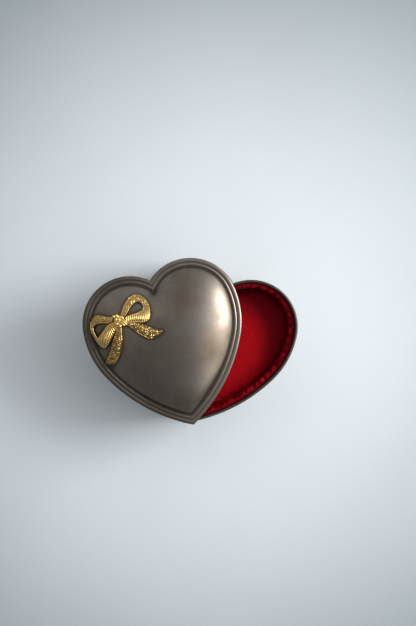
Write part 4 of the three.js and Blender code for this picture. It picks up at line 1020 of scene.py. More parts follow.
def beside_bow(points, bow):
    """How dark the dome is at each point, from 0 far off to 1 against a band of the bow: tarnish together
    with painted contact shade.
    """
    flat = np.asarray(points, float)[:, :2] - [bow.knot_x, bow.knot_y]
    nearest = np.full(len(flat), 1.0)
    close = np.flatnonzero(np.hypot(*flat.T) < 32 * MM)
    for stations in (RIGHT_LOOP, LEFT_LOOP, LOWER_TAIL, RIGHT_TAIL):
        path = through(np.asarray(stations)[:, :4] * MM, 90)
        outer, inner = path[:, :2], path[:, 2:]
        apart = np.linalg.norm(flat[close][:, None] - (outer + inner)[None] / 2, axis=2)
        apart -= np.linalg.norm(outer - inner, axis=1) / 2
        nearest[close] = np.minimum(nearest[close], apart.min(axis=1))
    return np.exp(-((np.maximum(nearest, 0) / bow.dirt_and_shade_reach) ** 2))


def ribbon(stations, bow, dome, seed, slant=0.0, across=30):
    """A ribbon over the dome: points, faces and masks, in the lid's own frame."""
    border, soft_edge, bead, bead_place, bead_width = (n * MM for n in (0.45, 0.35, 0.12, 0.3, 0.22))
    table = np.asarray(stations, float)
    edges = table[:, :4] * MM
    run = np.linalg.norm(np.diff(edges[:, :2] + edges[:, 2:], axis=0) / 2, axis=1).sum()
    along = max(12, int(run / (0.16 * MM)))
    path = through(edges, along)
    rise, mark, ribbed = through(table[:, 4:], along).T
    rise, mark, ribbed = rise * MM, np.clip(mark, 0, 1), np.clip(ribbed, 0, 1)
    outer, inner = path[:, :2], path[:, 2:]
    width = np.linalg.norm(outer - inner, axis=1)
    steps = np.linalg.norm(np.diff((outer + inner) / 2, axis=0), axis=1)
    travelled = running(steps)
    s = np.concatenate([[0, 0, 0], np.linspace(0, 1, across), [1, 1, 1]])
    top = np.concatenate([[0.0, 0.35, 0.75], np.ones(across), [0.75, 0.35, 0.0]])
    rings, hollow, rubbed, hammered = [], [], [], []
    for i in range(along):
        flat = outer[i] + (inner[i] - outer[i]) * s[:, None]
        near_edge = np.minimum(s, 1 - s) * width[i]
        inside = np.clip((near_edge - 0.5 * border) / border, 0, 1)
        field, grooved = inside * mark[i], inside * ribbed[i]
        pebble = hammer_marks(travelled[i], s * width[i], bow.hammer_size, seed)
        turns = (travelled[i] + slant * (s - 0.5) * width[i]) / bow.rib_pitch
        rib = np.abs(np.sin(math.pi * turns)) ** 0.8
        soft = np.clip(near_edge / soft_edge, 0, 1)
        crown = bow.crown * width[i] * (np.sin(math.pi * np.clip(s, 0, 1)) - 0.5)
        rim = bead * np.exp(-(((near_edge - bead_place) / bead_width) ** 2))
        sink = bow.hammer_depth * field * (1 - pebble) + bow.rib_depth * grooved * (1 - rib)
        height = rise[i] + crown + rim - sink - 0.2 * MM * (1 - soft)
        height = np.where(top < 1, rise[i] * top, height)
        rings.append(at_height(flat, dome(flat) + 0.02 * MM + height * np.where(top > 0, 1, 0)))
        # Painted contact shade down the band's sides towards the dome; tarnish between the hammer marks and
        # in the rib grooves.
        dark = field * (1 - pebble) ** 1.5 + 1.15 * grooved * (1 - rib) ** 1.1
        light = 0.1 + field * pebble**2 + grooved * rib**2 + 0.7 * (near_edge < 0.6 * border)
        hollow.append(np.where(top < 1, 1.0 - 0.6 * top, np.clip(dark, 0, 1)))
        rubbed.append(np.where(top < 1, 0.0, np.clip(light, 0, 1)))
        hammered.append((0.35 + 0.5 * mark[i]) * soft * (1 - 0.8 * ribbed[i]))
    size = len(s)
    faces = ring_faces(along, size)
    faces.append(tuple(range(size)))
    faces.append(tuple((along - 1) * size + i for i in range(size))[::-1])
    masks = {"hollow": hollow, "rubbed": rubbed, "hammered": hammered}
    return np.vstack(rings), faces, {name: np.concatenate(values) for name, values in masks.items()}


def ball(place, radius, stretch=(1.0, 1.0, 1.0), turn=0.0, hammered=0.0):
    """A small rounded form: points, faces and masks."""
    turns = np.linspace(0, math.pi, 19)
    points, faces = lathe(np.column_stack([np.sin(turns), -np.cos(turns)]), 28)
    points = np.array(points) * radius * np.asarray(stretch)
    # Painted light and shade: each ball is brighter on its upper half and darker towards its underside.
    low = np.clip(0.5 - points[:, 2] / radius / stretch[2], 0, 1)
    c, s = math.cos(turn), math.sin(turn)
    points[:, :2] = points[:, :2] @ np.array([[c, s], [-s, c]])
    masks = {"hollow": low, "rubbed": 1 - low, "hammered": np.full(len(points), hammered)}
    return points + place, faces, masks


def gathered(parts):
    """Several meshes as one."""
    points, faces, masks, start = [], [], {}, 0
    for some_points, some_faces, some_masks in parts:
        points.append(some_points)
        faces += [tuple(start + i for i in face) for face in some_faces]
        start += len(some_points)
        for name, values in some_masks.items():
            masks.setdefault(name, []).append(values)
    return np.vstack(points), faces, {name: np.concatenate(values) for name, values in masks.items()}


class MUSICBOX_OT_bow(bpy.types.Operator):
    """Build the cast ribbon bow: two loops, two tails and a knot with beads"""

    bl_idname = "musicbox.bow"
    bl_label = "Ribbon bow"

    def execute(self, context):
        sizes = context.scene.music_box
        bow = sizes.bow
        knot = np.array([bow.knot_x, bow.knot_y])
        surface = dome_height(sizes)

        def dome(points):
            return surface(np.asarray(points) + knot)

        def over(x, y, rise):
            """A place over the dome, all in millimetres from the knot."""
            return [x * MM, y * MM, float(dome([[x * MM, y * MM]])[0]) + rise * MM]

        parts = [
            ribbon(LOWER_TAIL, bow, dome, 3.0),
            ribbon(RIGHT_TAIL, bow, dome, 7.0),
            ribbon(RIGHT_LOOP, bow, dome, 11.0, 0.7),
            ribbon(LEFT_LOOP, bow, dome, 17.0, -0.15),
        ]
        parts += [ball(over(x, y, 2.75), bow.bead_radius) for x, y in KNOT_BEADS]
        for offset, radius in KNOT_STRANDS:
            place = over(2.0 + offset * 0.8, -0.9 + offset * 0.6, 2.2)
            parts.append(ball(place, radius * MM, (2.6, 0.75, 1.0), KNOT_TURN))
        place = [-0.1 * MM, 0.1 * MM, over(0, 0, 1.3)[2]]
        parts.append(ball(place, 1.0 * MM, (3.4, 3.6, 1.5), KNOT_TURN, 0.6))
        points, faces, masks = gathered(parts)
        points[:, :2] += knot
        place = lid_place(sizes.lid)
        made = piece("gilt_ribbon_bow", points, faces, place, "cast gold", "lid", sharp=60.0, masks=masks)
        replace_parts(made, "ribbon_bow")
        return {"FINISHED"}


# ------------ the box


def wall_section(rim, wall_top):
    """The wall's section from the foot, up, over the rim and down inside: inset, height and hollow."""
    proud, foot, bead, thick = 0.6 * MM, 3.0 * MM, 2.6 * MM, 1.0 * MM
    wall = rim + proud
    inside = wall + thick
    side, bead_foot = foot + 1.5 * MM, wall_top - bead
    outline = [(rim + 0.15 * MM, 0.0), (rim, 0.25 * MM), (rim, foot - 1.0 * MM)]
    outline += [(rim + 0.02 * MM, foot - 0.6 * MM), (rim + 0.22 * MM, foot - 0.1 * MM)]
    outline += [(rim + 0.5 * MM, foot + 0.5 * MM), (wall - 0.06 * MM, foot + 1.0 * MM), (wall, side)]
    outline += [(wall, side + (bead_foot - foot - 2.2 * MM) * t) for t in np.linspace(0.08, 0.92, 10)]
    outline += [(wall, bead_foot - 0.5 * MM), (wall + 0.12 * MM, bead_foot - 0.15 * MM)]
    for t in np.linspace(-1.35, 1.35, 11):
        outline.append((wall - proud * math.cos(t), wall_top - bead / 2 + bead / 2 * math.sin(t)))
    outline += [(wall + 0.25 * MM, wall_top), (inside - 0.4 * MM, wall_top)]
    outline += [(inside - 0.1 * MM, wall_top - 0.12 * MM), (inside, wall_top - 0.4 * MM)]
    outline += [(inside, wall_top * 0.6), (inside, wall_top * 0.2)]
    outline += [(inside, 0.3 * MM), (inside - 0.2 * MM, 0.0)]
    section = []
    # Darkest in the creases over the foot and under the rim's bead, nearly as dark on the rim's top, lighter
    # on the outer crest.
    for inset, z in outline:
        crease = abs(z - (bead_foot - 0.2 * MM)) < 0.45 * MM or abs(z - foot - 0.9 * MM) < 0.4 * MM
        top, crest = z > wall_top - 0.5 * MM, inset < rim + 0.12 * MM
        section.append((inset, z, 1.0 if crease else 0.85 if top else 0.25 if crest else 0.1))
    return section


class MUSICBOX_OT_box(bpy.types.Operator):
    """Build the heart-shaped wall with its rim and foot mouldings, and the bottom plate"""

    bl_idname = "musicbox.box"
    bl_label = "Box wall and bottom"

    def execute(self, context):
        sizes = context.scene.music_box.heart
        place = box_place(sizes)
        section = wall_section(sizes.rim_inset, WALL_HIGH.z)
        rings = [at_height(heart(sizes, inset), z) for inset, z, _ in section]
        points, size = np.vstack(rings), len(rings[0])
        hollow = np.repeat([dark for _, _, dark in section], size)
        masks = {"hollow": hollow, "rubbed": np.zeros(len(points))}
        faces = ring_faces(len(rings), size, True)
        wall = piece("heart_wall", points, faces, place, "aged silver", "box", sharp=50.0, masks=masks)
        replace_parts(wall, "box_wall")
        holes = []
        corner_post = rounded(in_mm((1, 0), (2.4, 0), (2.4, 16.5), (1, 16.5)), 0.2 * MM)
        for i in range(1, 5):
            x, y, *_ = middle_of(f"bottom_screw_{i}")
            holes.append((x, y, 1.0 * MM))
            stand = Matrix.Translation((x, y, PLATE_HIGH.z))
            points, faces = lathe([*corner_post, corner_post[0]], 28)
            piece(f"corner_post_{i}", points, faces, stand, "inner silver", "box")
        holes += [(*middle_of(f"movement_screw_{i}")[:2], 1.35 * MM) for i in range(1, 4)]
        holes += [(*middle_of("winding_arbor")[:2], 2.08 * MM), (PIVOT.x, PIVOT.y, 1.62 * MM)]
        outline = heart(sizes, sizes.rim_inset + 1.9 * MM) + np.array(place.translation[:2])
        levels = PLATE_LOW.z, PLATE_HIGH.z
        bottom = plate("base_plate", outline, holes, *levels, Matrix.Identity(4), "inner silver", "box")
        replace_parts(bottom, "bottom_plate")
        return {"FINISHED"}


# ------------ the satin

WALL_THICKNESS = 1.6 * MM  # with the rim's bead
CLOTH_SCALE = 10.0  # cloth is simulated this much larger, where the solver is steadier
CLOTH_FRAMES = 16


def clear_of_post(points, lid, reach):
    """Points pushed sideways until they stand clear of the swivel post."""
    centre = np.array([0.0, lid.pivot_y])
    away = points[:, :2] - centre
    distance = np.maximum(np.linalg.norm(away, axis=1), 1e-6)
    moved = points.copy()
    moved[:, :2] = centre + away * np.maximum(1.0, reach / distance)[:, None]
    return moved


def places(mesh, what="co"):
    """The place of each of the mesh's points, or its normal."""
    out = np.empty(len(mesh.vertices) * 3)
    mesh.vertices.foreach_get(what, out)
    return out.reshape(-1, 3)


def set_places(mesh, points):
    mesh.vertices.foreach_set("co", np.ascontiguousarray(points, float).ravel())
    mesh.update()


def crevices(mesh, rounds, reach):
    """How far each point lies below its smoothed surroundings, from -1 on a crest to 1 in a crease."""
    points = places(mesh)
    edges = np.empty(len(mesh.edges) * 2, int)
    mesh.edges.foreach_get("vertices", edges)
    edges = edges.reshape(-1, 2)
    both = np.vstack([edges, edges[:, ::-1]])
    count = np.bincount(both[:, 0], minlength=len(points))[:, None]
    smooth = points
    for _ in range(rounds):
        total = np.zeros_like(points)
        np.add.at(total, both[:, 0], smooth[both[:, 1]])
        smooth = total / np.maximum(count, 1)
    return np.clip(((smooth - points) * places(mesh, "normal")).sum(axis=1) / reach, -1, 1)


def beside_wall(points, sizes, steps=9):
    """How deep in the wall's painted shadow each point lies: 1 beside the wall on the window's side, 0 in the
    open.
    """
    reach, turn = sizes.satin.shade_reach, sizes.satin.shade_turn
    edge = heart(sizes.heart, sizes.heart.rim_inset + WALL_THICKNESS, (40, 12, 28))
    ahead = np.roll(edge, -1, axis=0)
    total = np.zeros(len(points))
    for far in np.linspace(reach * 0.72, reach * 1.25, steps):
        moved = points[:, :2] + far * np.array([math.cos(turn), math.sin(turn)])
        rising = (edge[None, :, 1] > moved[:, None, 1]) != (ahead[None, :, 1] > moved[:, None, 1])
        drop = np.where(np.abs(ahead[:, 1] - edge[:, 1]) < 1e-9, 1e-9, ahead[:, 1] - edge[:, 1])
        cross = edge[:, 0] + (moved[:, None, 1] - edge[:, 1]) / drop * (ahead[:, 0] - edge[:, 0])
        total += (rising & (moved[:, None, 0] < cross)).sum(axis=1) % 2 == 0
    return total / steps


def relaxed(mesh, held, pressure, growth, bending, cap):
    """The mesh after it has been let go as cloth: held points stay, and none moves further than the cap."""
    start = places(mesh)
    set_places(mesh, start * CLOTH_SCALE)

    def let_go(made):
        made.vertex_groups.new(name="held").add(np.flatnonzero(held).tolist(), 1.0, "REPLACE")
        cloth = made.modifiers.new("cloth", "CLOTH")
        settings = cloth.settings
        settings.quality = 6
        settings.mass = 0.25
        settings.tension_stiffness = settings.compression_stiffness = 12.0
        settings.shear_stiffness = 4.0
        settings.bending_stiffness = bending
        settings.vertex_group_mass = "held"
        settings.effector_weights.gravity = 0.0
        settings.shrink_min = settings.shrink_max = -growth
        settings.use_pressure = pressure != 0
        settings.uniform_pressure_force = pressure
        cloth.collision_settings.use_collision = False
        cloth.point_cache.frame_start, cloth.point_cache.frame_end = 1, CLOTH_FRAMES
        for step in range(1, CLOTH_FRAMES + 1):
            bpy.context.scene.frame_set(step)

    result = worked(mesh, let_go)
    bpy.context.scene.frame_set(1)
    moved = places(result) / CLOTH_SCALE - start
    distance = np.maximum(np.linalg.norm(moved, axis=1), 1e-9)
    set_places(result, start + moved * (np.minimum(distance, cap) / distance)[:, None])
    return result


def gathers(distance, spacing, seed):
    """Depth of the gathers at each distance round the wall, from 0 in a crease to 1 on a fold."""
    total = distance.max() * (1 + 1 / len(distance))
    count = int(total / spacing)
    rng = np.random.default_rng(seed)
    widths = rng.uniform(0.55, 1.5, count)
    marks = running(widths) / widths.sum() * total
    where = distance % total
    index = np.clip(np.searchsorted(marks, where, side="right") - 1, 0, count - 1)
    t = (where - marks[index]) / (marks[index + 1] - marks[index])
    return np.sin(math.pi * t) ** 0.7 * rng.uniform(0.5, 1.0, count)[index]


class MUSICBOX_OT_lining(bpy.types.Operator):
    """Build the gathered satin lining round the wall, as cloth that buckles between its two held edges"""

    bl_idname = "musicbox.lining"
    bl_label = "Wall lining"

    ROWS, ROLL_FROM = 20, 0.7
    DEPTH, LEAST, MOST = 2.0 * MM, 0.03 * MM, 3.4 * MM
    NEARBY = 9  # how many columns either way make up the level that a ridge is measured from

    def sheet(self, wall, inward, low, high, satin):
        """The strip before it is let go, in rows from the pad up and over the rolled top."""
        distance = running(np.linalg.norm(np.roll(wall, -1, axis=0) - wall, axis=1))[:-1]
        crest = high - 1.9 * MM
        rings = []
        for row in range(self.ROWS + 1):
            t = row / self.ROWS
            if t < self.ROLL_FROM:
                up = t / self.ROLL_FROM
                z, depth = low + (crest - low) * up, 3.3 * MM - 1.3 * MM * up**0.6
            else:
                turn = (t - self.ROLL_FROM) / (1 - self.ROLL_FROM) * math.pi / 2
                z = crest + (high - crest) * math.sin(turn)
                depth = self.DEPTH * max(0.0, math.cos(turn)) ** 0.8 + self.LEAST
            slant = satin.gather_slant * math.sin(t * 7.0 + 0.8)
            folds = gathers(distance + slant, satin.gather_spacing, 5)
            small = gathers(distance - slant, satin.gather_spacing * 0.47, 9)
            swell = satin.gather_depth * (0.75 * folds + 0.35 * small - 0.25)
            swell = swell * math.sin(math.pi * (0.12 + 0.8 * t))
            ring = wall + inward * np.maximum(depth + swell, self.LEAST)[:, None]
            rise = 0.5 * swell * (t > self.ROLL_FROM) * (1 - t) / (1 - self.ROLL_FROM)
            rings.append(at_height(ring, z + rise))
        return np.vstack(rings)

    def execute(self, context):
        sizes = context.scene.music_box
        back, steps = sizes.heart.rim_inset + WALL_THICKNESS + 0.15 * MM, (150, 40, 84)
        wall = heart(sizes.heart, back, steps)
        inward = heart(sizes.heart, back + self.DEPTH, steps) - wall
        inward /= np.linalg.norm(inward, axis=1)[:, None]
        low, high = PAD_LOW.z + 0.05 * MM, LINING_HIGH.z + 0.35 * MM
        front, size = self.sheet(wall, inward, low, high, sizes.satin), len(wall)
        mesh = new_mesh("gathered_lining", front, ring_faces(self.ROWS + 1, size))
        held = np.zeros(len(front))
        held[:size] = held[-size:] = 1.0
        mesh = relaxed(mesh, held, 0.0, sizes.satin.fullness, 0.02, 1.4 * MM)
        front = places(mesh)
        nearest, direction = np.tile(wall, (self.ROWS + 1, 1)), np.tile(inward, (self.ROWS + 1, 1))
        depth = ((front[:, :2] - nearest) * direction).sum(axis=1)
        front[:, :2] += direction * np.maximum(self.LEAST - depth, 0)[:, None]
        front[:, :2] -= direction * np.maximum(depth - self.MOST, 0)[:, None]
        front[:, 2] = np.clip(front[:, 2], low, high + 0.2 * MM)
        front = clear_of_post(front, sizes.lid, 3.35 * MM)
        depth = ((front[:, :2] - nearest) * direction).sum(axis=1).reshape(-1, size)
        near = range(-self.NEARBY, self.NEARBY + 1)
        level = sum(np.roll(depth, step, axis=1) for step in near) / len(near)
        up = np.linspace(0, 1, self.ROWS + 1)[:, None]
        ridge = (depth - level) / (0.4 * MM) * np.clip(1.6 - 1.2 * up, 0, 1) - np.clip(4 * up - 3.2, 0, 0.6)
        ridge = np.append(ridge.ravel(), np.zeros(2 * size))
        behind = [at_height(wall - inward * 0.1 * MM, z) for z in (high - 0.3 * MM, low)]
        mesh = new_mesh("gathered_lining", np.vstack([front, *behind]), ring_faces(self.ROWS + 3, size, True))
        # Painted highlight and shade: the satin is lighter on the crests of the gathers, and darker between
        # them and over the rolled top.
        keep_mask(mesh, "hollow", np.clip(0.15 - 0.8 * ridge, 0, 1))
        keep_mask(mesh, "shaded", np.clip(1.1 - 1.7 * ridge, 0, 1))
        mesh = modified(mesh, "SUBSURF", levels=1)
        mesh.transform(box_place(sizes.heart))
        made = settled("gathered_lining", mesh, "lining satin", "box", 85.0)
        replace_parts(made, "wall_lining")
        return {"FINISHED"}


class MUSICBOX_OT_floor_pad(bpy.types.Operator):
    """Build the satin-covered pad on the floor, swollen by its stuffing, and the card under it"""

    bl_idname = "musicbox.floor_pad"
    bl_label = "Floor pad"

    def execute(self, context):
        sizes = context.scene.music_box
        outline = heart(sizes.heart, sizes.heart.rim_inset + 4.75 * MM, (46, 14, 30))
        size = len(outline)
        low, high = PAD_LOW.z + 0.05 * MM, PAD_HIGH.z - 0.35 * MM
        points = np.vstack([at_height(outline, z) for z in (low, high)])
        points = clear_of_post(points, sizes.lid, 3.4 * MM)
        faces = [*ring_faces(2, size), tuple(range(size))[::-1], tuple(range(size, 2 * size))]
        mesh = new_mesh("satin_floor_pad", points * CLOTH_SCALE, faces)
        mesh = modified(mesh, "REMESH", mode="VOXEL", voxel_size=0.8 * MM * CLOTH_SCALE)
        start = places(mesh) / CLOTH_SCALE
        set_places(mesh, start)
        mesh = relaxed(mesh, places(mesh)[:, 2] < low + 0.4 * MM, 2.0, 0.02, 0.4, 1.2 * MM)
        points = places(mesh)
        puffs = [noise.noise(Vector((x / 0.011, y / 0.016, 3.0))) for x, y, _ in points]
        wrinkles = [noise.noise(Vector((x / 0.0035, y / 0.012, 8.0))) for x, y, _ in points]
        upper = np.clip((points[:, 2] - low) / (high - low), 0, 1)
        points[:, 2] += upper * (0.28 * MM * np.array(puffs) + 0.08 * MM * np.array(wrinkles))
        points[:, 2] = np.clip(points[:, 2], low - 0.03 * MM, PAD_HIGH.z + 0.7 * MM)
        set_places(mesh, points)
        mesh = modified(mesh, "SUBSURF", levels=1)
        # Painted shadow of the wall on the pad.
        shade = beside_wall(places(mesh), sizes)
        mesh.transform(box_place(sizes.heart))
        # Painted shade in the pad's creases.
        keep_mask(mesh, "hollow", np.clip(crevices(mesh, 8, 0.5 * MM), 0, 1))
        keep_mask(mesh, "shaded", shade)
        made = settled("satin_floor_pad", mesh, "pad satin", "box", 85.0)
        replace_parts(made, "floor_pad")
        dressed("false_floor", "card", "box", bevel=0.0)
        return {"FINISHED"}


# ------------ screws, pivot and key


def slotted_head(radius, height, slot):
    """A slotted screw head on Z: its underside at 0, its top at height, and a short shank under it."""
    shank = radius * 0.52
    head = [(0, height), (radius * 0.72, height * 0.97), (radius, height * 0.55), (radius, 0), (shank, 0)]
    profile = [*rounded(head, 0.22 * radius), (shank, -2.2 * radius), (0.0, -2.4 * radius)]
    mesh = cleaned(new_mesh("head", *lathe(profile, 40)))
    work = bmesh.new()
    shape = Matrix.Diagonal((2.4 * radius, slot, height, 1))
    bmesh.ops.create_cube(work, size=1.0, matrix=Matrix.Translation((0, 0, height)) @ shape)
    cutter = linked("slot", mesh_from("slot", work))
    cut = modified(mesh, "BOOLEAN", object=cutter, solver="EXACT")
    bpy.data.objects.remove(cutter)
    return cut


# Each row of screws: node name without its number, how many, head height, first turn and turn between two,
# and whether the heads face up.
SCREWS = [
    ("bottom_screw", 4, 0.9, 25.0, 63.0, False),
    ("movement_screw", 3, 1.25, 10.0, 47.0, False),
    ("cup_screw", 2, 0.9, 0.0, 31.0, True),
    ("comb_screw", 2, 1.0, 0.0, 74.0, True),
]


class MUSICBOX_OT_screws(bpy.types.Operator):
    """Build the slotted screws of the bottom plate, the movement and the comb"""

    bl_idname = "musicbox.screws"
    bl_label = "Screws"

    def execute(self, context):
        for row, count, head, first, turn, up in SCREWS:
            for i in range(1, count + 1):
                node = f"{row}_{i}"
                x, y, low, high = middle_of(node)
                radius, height = (high.x - low.x) / 2, head * MM
                place = Matrix.Translation((x, y, high.z - height if up else low.z + height))
                place = place @ Matrix.Rotation(math.radians(first + turn * i), 4, "Z")
                mesh = slotted_head(radius, height, radius / 4.5)
                mesh.transform(place if up else place @ Matrix.Rotation(math.pi, 4, "X"))
                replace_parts(settled(node + "_finished", mesh, "steel", "box"), node)
        return {"FINISHED"}


class MUSICBOX_OT_pivot(bpy.types.Operator):
    """Finish the pivot post, rod, washer and nut"""

    bl_idname = "musicbox.pivot"
    bl_label = "Swivel"

    def execute(self, context):
        low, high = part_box("pivot_post")
        top = (high.z - low.z) / MM
        profile = rounded(in_mm((1.62, 0), (4, 0), (4, 1.2), (3, 1.3), (3, top), (1.62, top)), 0.3 * MM, 3)
        points, faces = lathe([*profile, profile[0]], 48)
        place = Matrix.Translation((PIVOT.x, PIVOT.y, low.z))
        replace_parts(piece("swivel_post", points, faces, place, "brass", "box"), "pivot_post")
        dressed("pivot_rod", "steel", "lid", 0.2 * MM)
        dressed("pivot_washer", "brass", "lid", 0.1 * MM)
        dressed("pivot_nut", "brass", "lid", 0.18 * MM)
        return {"FINISHED"}


def wing_outline(span, tall, waist):
    """The outline of a key's two rounded wings joined by a waist, anticlockwise."""
    points, radius = [], tall / 2
    for side in (1, -1):
        for t in np.linspace(-1.9, 1.9, 26):
            x = span / 2 - radius + radius * math.cos(t)
            points.append((side * x, side * radius * math.sin(t)))
        points.append((side * span * 0.2, side * (waist / 2 + 0.35 * MM)))
        points.append((side * span * 0.1, side * waist / 2))
    return points


class MUSICBOX_OT_key(bpy.types.Operator):
    """Build the winding key with its two wings and hub"""

    bl_idname = "musicbox.key"
    bl_label = "Winding key"

    def execute(self, context):
        x, y, low, high = middle_of("winding_key")
        span, top = high.x - low.x, high.z - low.z
        tall, half = top * 0.75, 0.9 * MM
        upright = Matrix.Translation((x, y, low.z + tall / 2)) @ Matrix.Rotation(math.pi / 2, 4, "X")
        outline = wing_outline(span, tall, tall * 0.62)
        holes = [(side * span * 0.345, 0.0, 1.1 * MM) for side in (1, -1)]
        wings = plate("key_wings", outline, holes, -half, half, upright, "steel", "winder", 0.35 * MM)
        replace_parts(wings, "winding_key")
        top /= MM
        hub = [(0, 1.4), (2, 1.4), (2.8, 2.2), (2.8, top), (1.75, top), (1.75, top - 3.3), (0, top - 3.3)]
        points, faces = lathe(rounded(in_mm(*hub), 0.25 * MM, 3), 40)
        piece("key_hub", points, faces, Matrix.Translation((x, y, low.z)), "steel", "winder")
        return {"FINISHED"}


# ------------ the movement

# The nodes of each body, by finish.
MOVEMENT = [
    ("box", "zinc", "bedplate governor_bracket"),
    ("box", "steel", "spring_cup mainspring comb"),
    ("winder", "steel", "winding_arbor"),
    ("winder", "brass", "great_wheel"),
    ("winder", "steel", "ratchet_spring"),
    ("cylinder", "brass", "pinned_cylinder"),
    ("cylinder", "steel", "cylinder_spindle"),
    ("cylinder", "brass", "cylinder_pinion cylinder_wheel"),
    ("second_mobile", "steel", "second_spindle"),
    ("second_mobile", "brass", "second_pinion second_wheel"),
    ("worm_wheel_mobile", "steel", "worm_spindle"),
    ("worm_wheel_mobile", "brass", "worm_pinion"),
    ("worm_wheel_mobile", "white plastic", "worm_wheel"),
    ("governor", "steel", "governor_worm"),
    ("governor", "white plastic", "governor_fan"),
]
LEFT_SHARP = {"mainspring", "comb", "governor_worm", "pinned_cylinder"}


class MUSICBOX_OT_movement(bpy.types.Operator):
    """Finish every piece of the movement under the floor"""

    bl_idname = "musicbox.movement"
    bl_label = "Movement"

    def execute(self, context):
        for body, look, nodes in MOVEMENT:
            for node in nodes.split():
                dressed(node, look, body, 0.0 if node in LEFT_SHARP else 0.06 * MM)
        return {"FINISHED"}


# ------------ the stage


def room_light(stage):
    """A soft room: dim overhead, bright towards the window's side, a little brighter ahead than behind."""
    world = bpy.data.worlds.new("room")
    bpy.context.scene.world = world
    world.use_nodes = True
    tree = world.node_tree
    place = new_node(tree, "ShaderNodeTexCoord", None, "Generated")
    turn = stage.roll + stage.window_turn
    window = (0.95 * math.cos(turn), 0.95 * math.sin(turn), 0.3)
    side = place.along("DOT_PRODUCT", window).ramp(0.6, 1.0)
    far = place.along("DOT_PRODUCT", (-math.sin(stage.roll), math.cos(stage.roll), 0.0)).ramp(-0.5, 0.9)
    dim = mixed(far, [0.8 * c for c in stage.room_dark], [1.7 * c for c in stage.room_dark])
    put(tree.nodes["Background"].inputs["Color"], mixed(side, dim, stage.room_bright))


def window_light(stage, aim, towards):
    """A soft rectangular light that faces the box."""
    data = bpy.data.lights.new("window", "AREA")
    data.shape = "RECTANGLE"
    data.size, data.size_y = stage.window_width, stage.window_depth
    data.energy = stage.window_strength
    data.color = (1.0, 0.99, 0.97)
    made = linked("window", data)
    made.location = aim + towards * stage.window_distance
    made.rotation_mode = "QUATERNION"
    made.rotation_quaternion = (-towards).to_track_quat("-Z", "Y")


def table_top(stage):
    """A wide pale table top under the box, with fine threads, and a painted falloff of light: darker further
    off.
    """
    work = bmesh.new()
    bmesh.ops.create_grid(work, x_segments=24, y_segments=24, size=2.5)
    mesh = mesh_from("table_top", work)
    made = Surface("pale table")
    away = made.place.along("DISTANCE", (0.0, 0.0, 0.0)).ramp(0.07, 0.32)
    tint = mixed(away, stage.floor, stage.far_floor_painted_dim)
    tint = mixed(made.place.grain(9.0, 2.0, 0.5), tint, (0.9, 0.9, 0.9), "MULTIPLY")
    inputs = {"Vector": made.place, "Scale": 150.0, "Distortion": 3.0, "Detail Scale": 0.4}
    thread = new_node(made.tree, "ShaderNodeTexWave", inputs, "Fac", bands_direction="X")
    tint = mixed(thread, tint, (0.96, 0.96, 0.96), "MULTIPLY")
    made.set({"Base Color": tint, "Roughness": 0.55, "Specular IOR Level": 0.3})
    mesh.materials.append(made.bump(made.place.grain(500.0, 2.0), 0.02 * MM))
    floor = linked("table_top", mesh)
    floor.location.z = WALL_LOW.z


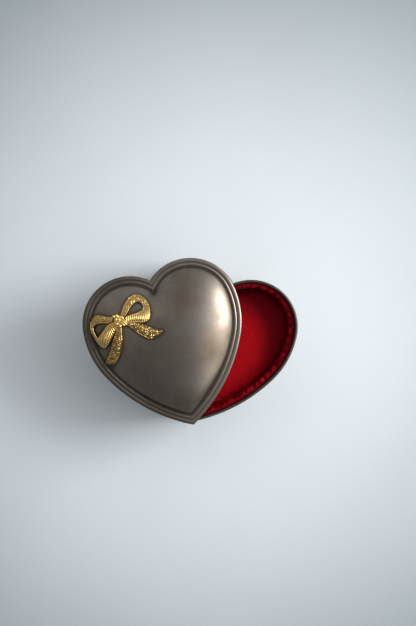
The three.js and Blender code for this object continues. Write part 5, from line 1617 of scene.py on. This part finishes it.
class MUSICBOX_OT_stage(bpy.types.Operator):
    """Set the table top, the soft window light and the camera straight above"""

    bl_idname = "musicbox.stage"
    bl_label = "Stage"

    SENSOR = 36.0
    AIM_HEIGHT = 30 * MM

    def execute(self, context):
        stage = context.scene.music_box.stage
        table_top(stage)
        room_light(stage)
        turn = Matrix.Rotation(stage.roll, 4, "Z")
        right, up = turn @ Vector((1, 0, 0)), turn @ Vector((0, 1, 0))
        aim = Vector(((LID_LOW.x + WALL_HIGH.x) / 2, 0.0, self.AIM_HEIGHT))
        side = right * math.cos(stage.window_turn) + up * math.sin(stage.window_turn)
        high = stage.window_height
        window_light(stage, aim, side * math.cos(high) + Vector((0, 0, math.sin(high))))
        data = bpy.data.cameras.new("camera")
        data.sensor_width = self.SENSOR
        data.lens = self.SENSOR * stage.camera_height / stage.view_height
        data.clip_start, data.clip_end = 0.02, 20.0
        camera = linked("camera", data)
        rim = Vector((PIVOT.x, PIVOT.y, LID_LOW.z + stage.camera_height))
        camera.location = rim + right * stage.view_across + up * stage.view_over
        camera.rotation_euler = (0, 0, stage.roll)
        context.scene.camera = camera
        context.scene.view_settings.view_transform = "Standard"
        return {"FINISHED"}


# ------------ the add-on

STEPS = [
    MUSICBOX_OT_stage,
    MUSICBOX_OT_lid,
    MUSICBOX_OT_bow,
    MUSICBOX_OT_box,
    MUSICBOX_OT_lining,
    MUSICBOX_OT_floor_pad,
    MUSICBOX_OT_screws,
    MUSICBOX_OT_pivot,
    MUSICBOX_OT_key,
    MUSICBOX_OT_movement,
]


class MUSICBOX_PT_panel(bpy.types.Panel):
    """The steps and sizes of the music box"""

    bl_idname = "MUSICBOX_PT_panel"
    bl_label = "Music Box"
    bl_space_type = "VIEW_3D"
    bl_region_type = "UI"
    bl_category = "Music Box"

    def draw(self, context):
        for step in STEPS:
            self.layout.operator(step.bl_idname)
        for name in MusicBoxSizes.__annotations__:
            sizes = getattr(context.scene.music_box, name)
            box = self.layout.box()
            box.label(text=type(sizes).__doc__)
            for field in type(sizes).__annotations__:
                box.prop(sizes, field)


CLASSES = [
    HeartSizes,
    LidSizes,
    BowSizes,
    SatinSizes,
    Finishes,
    StageSizes,
    MusicBoxSizes,
    *STEPS,
    MUSICBOX_PT_panel,
]


def register():
    for kind in CLASSES:
        bpy.utils.register_class(kind)
    bpy.types.Scene.music_box = bpy.props.PointerProperty(type=MusicBoxSizes)


def unregister():
    del bpy.types.Scene.music_box
    for kind in reversed(CLASSES):
        bpy.utils.unregister_class(kind)


def main():
    register()
    for step in STEPS:
        module, name = step.bl_idname.split(".")
        getattr(getattr(bpy.ops, module), name)()
    bpy.context.view_layer.update()


if __name__ == "__main__":
    main()
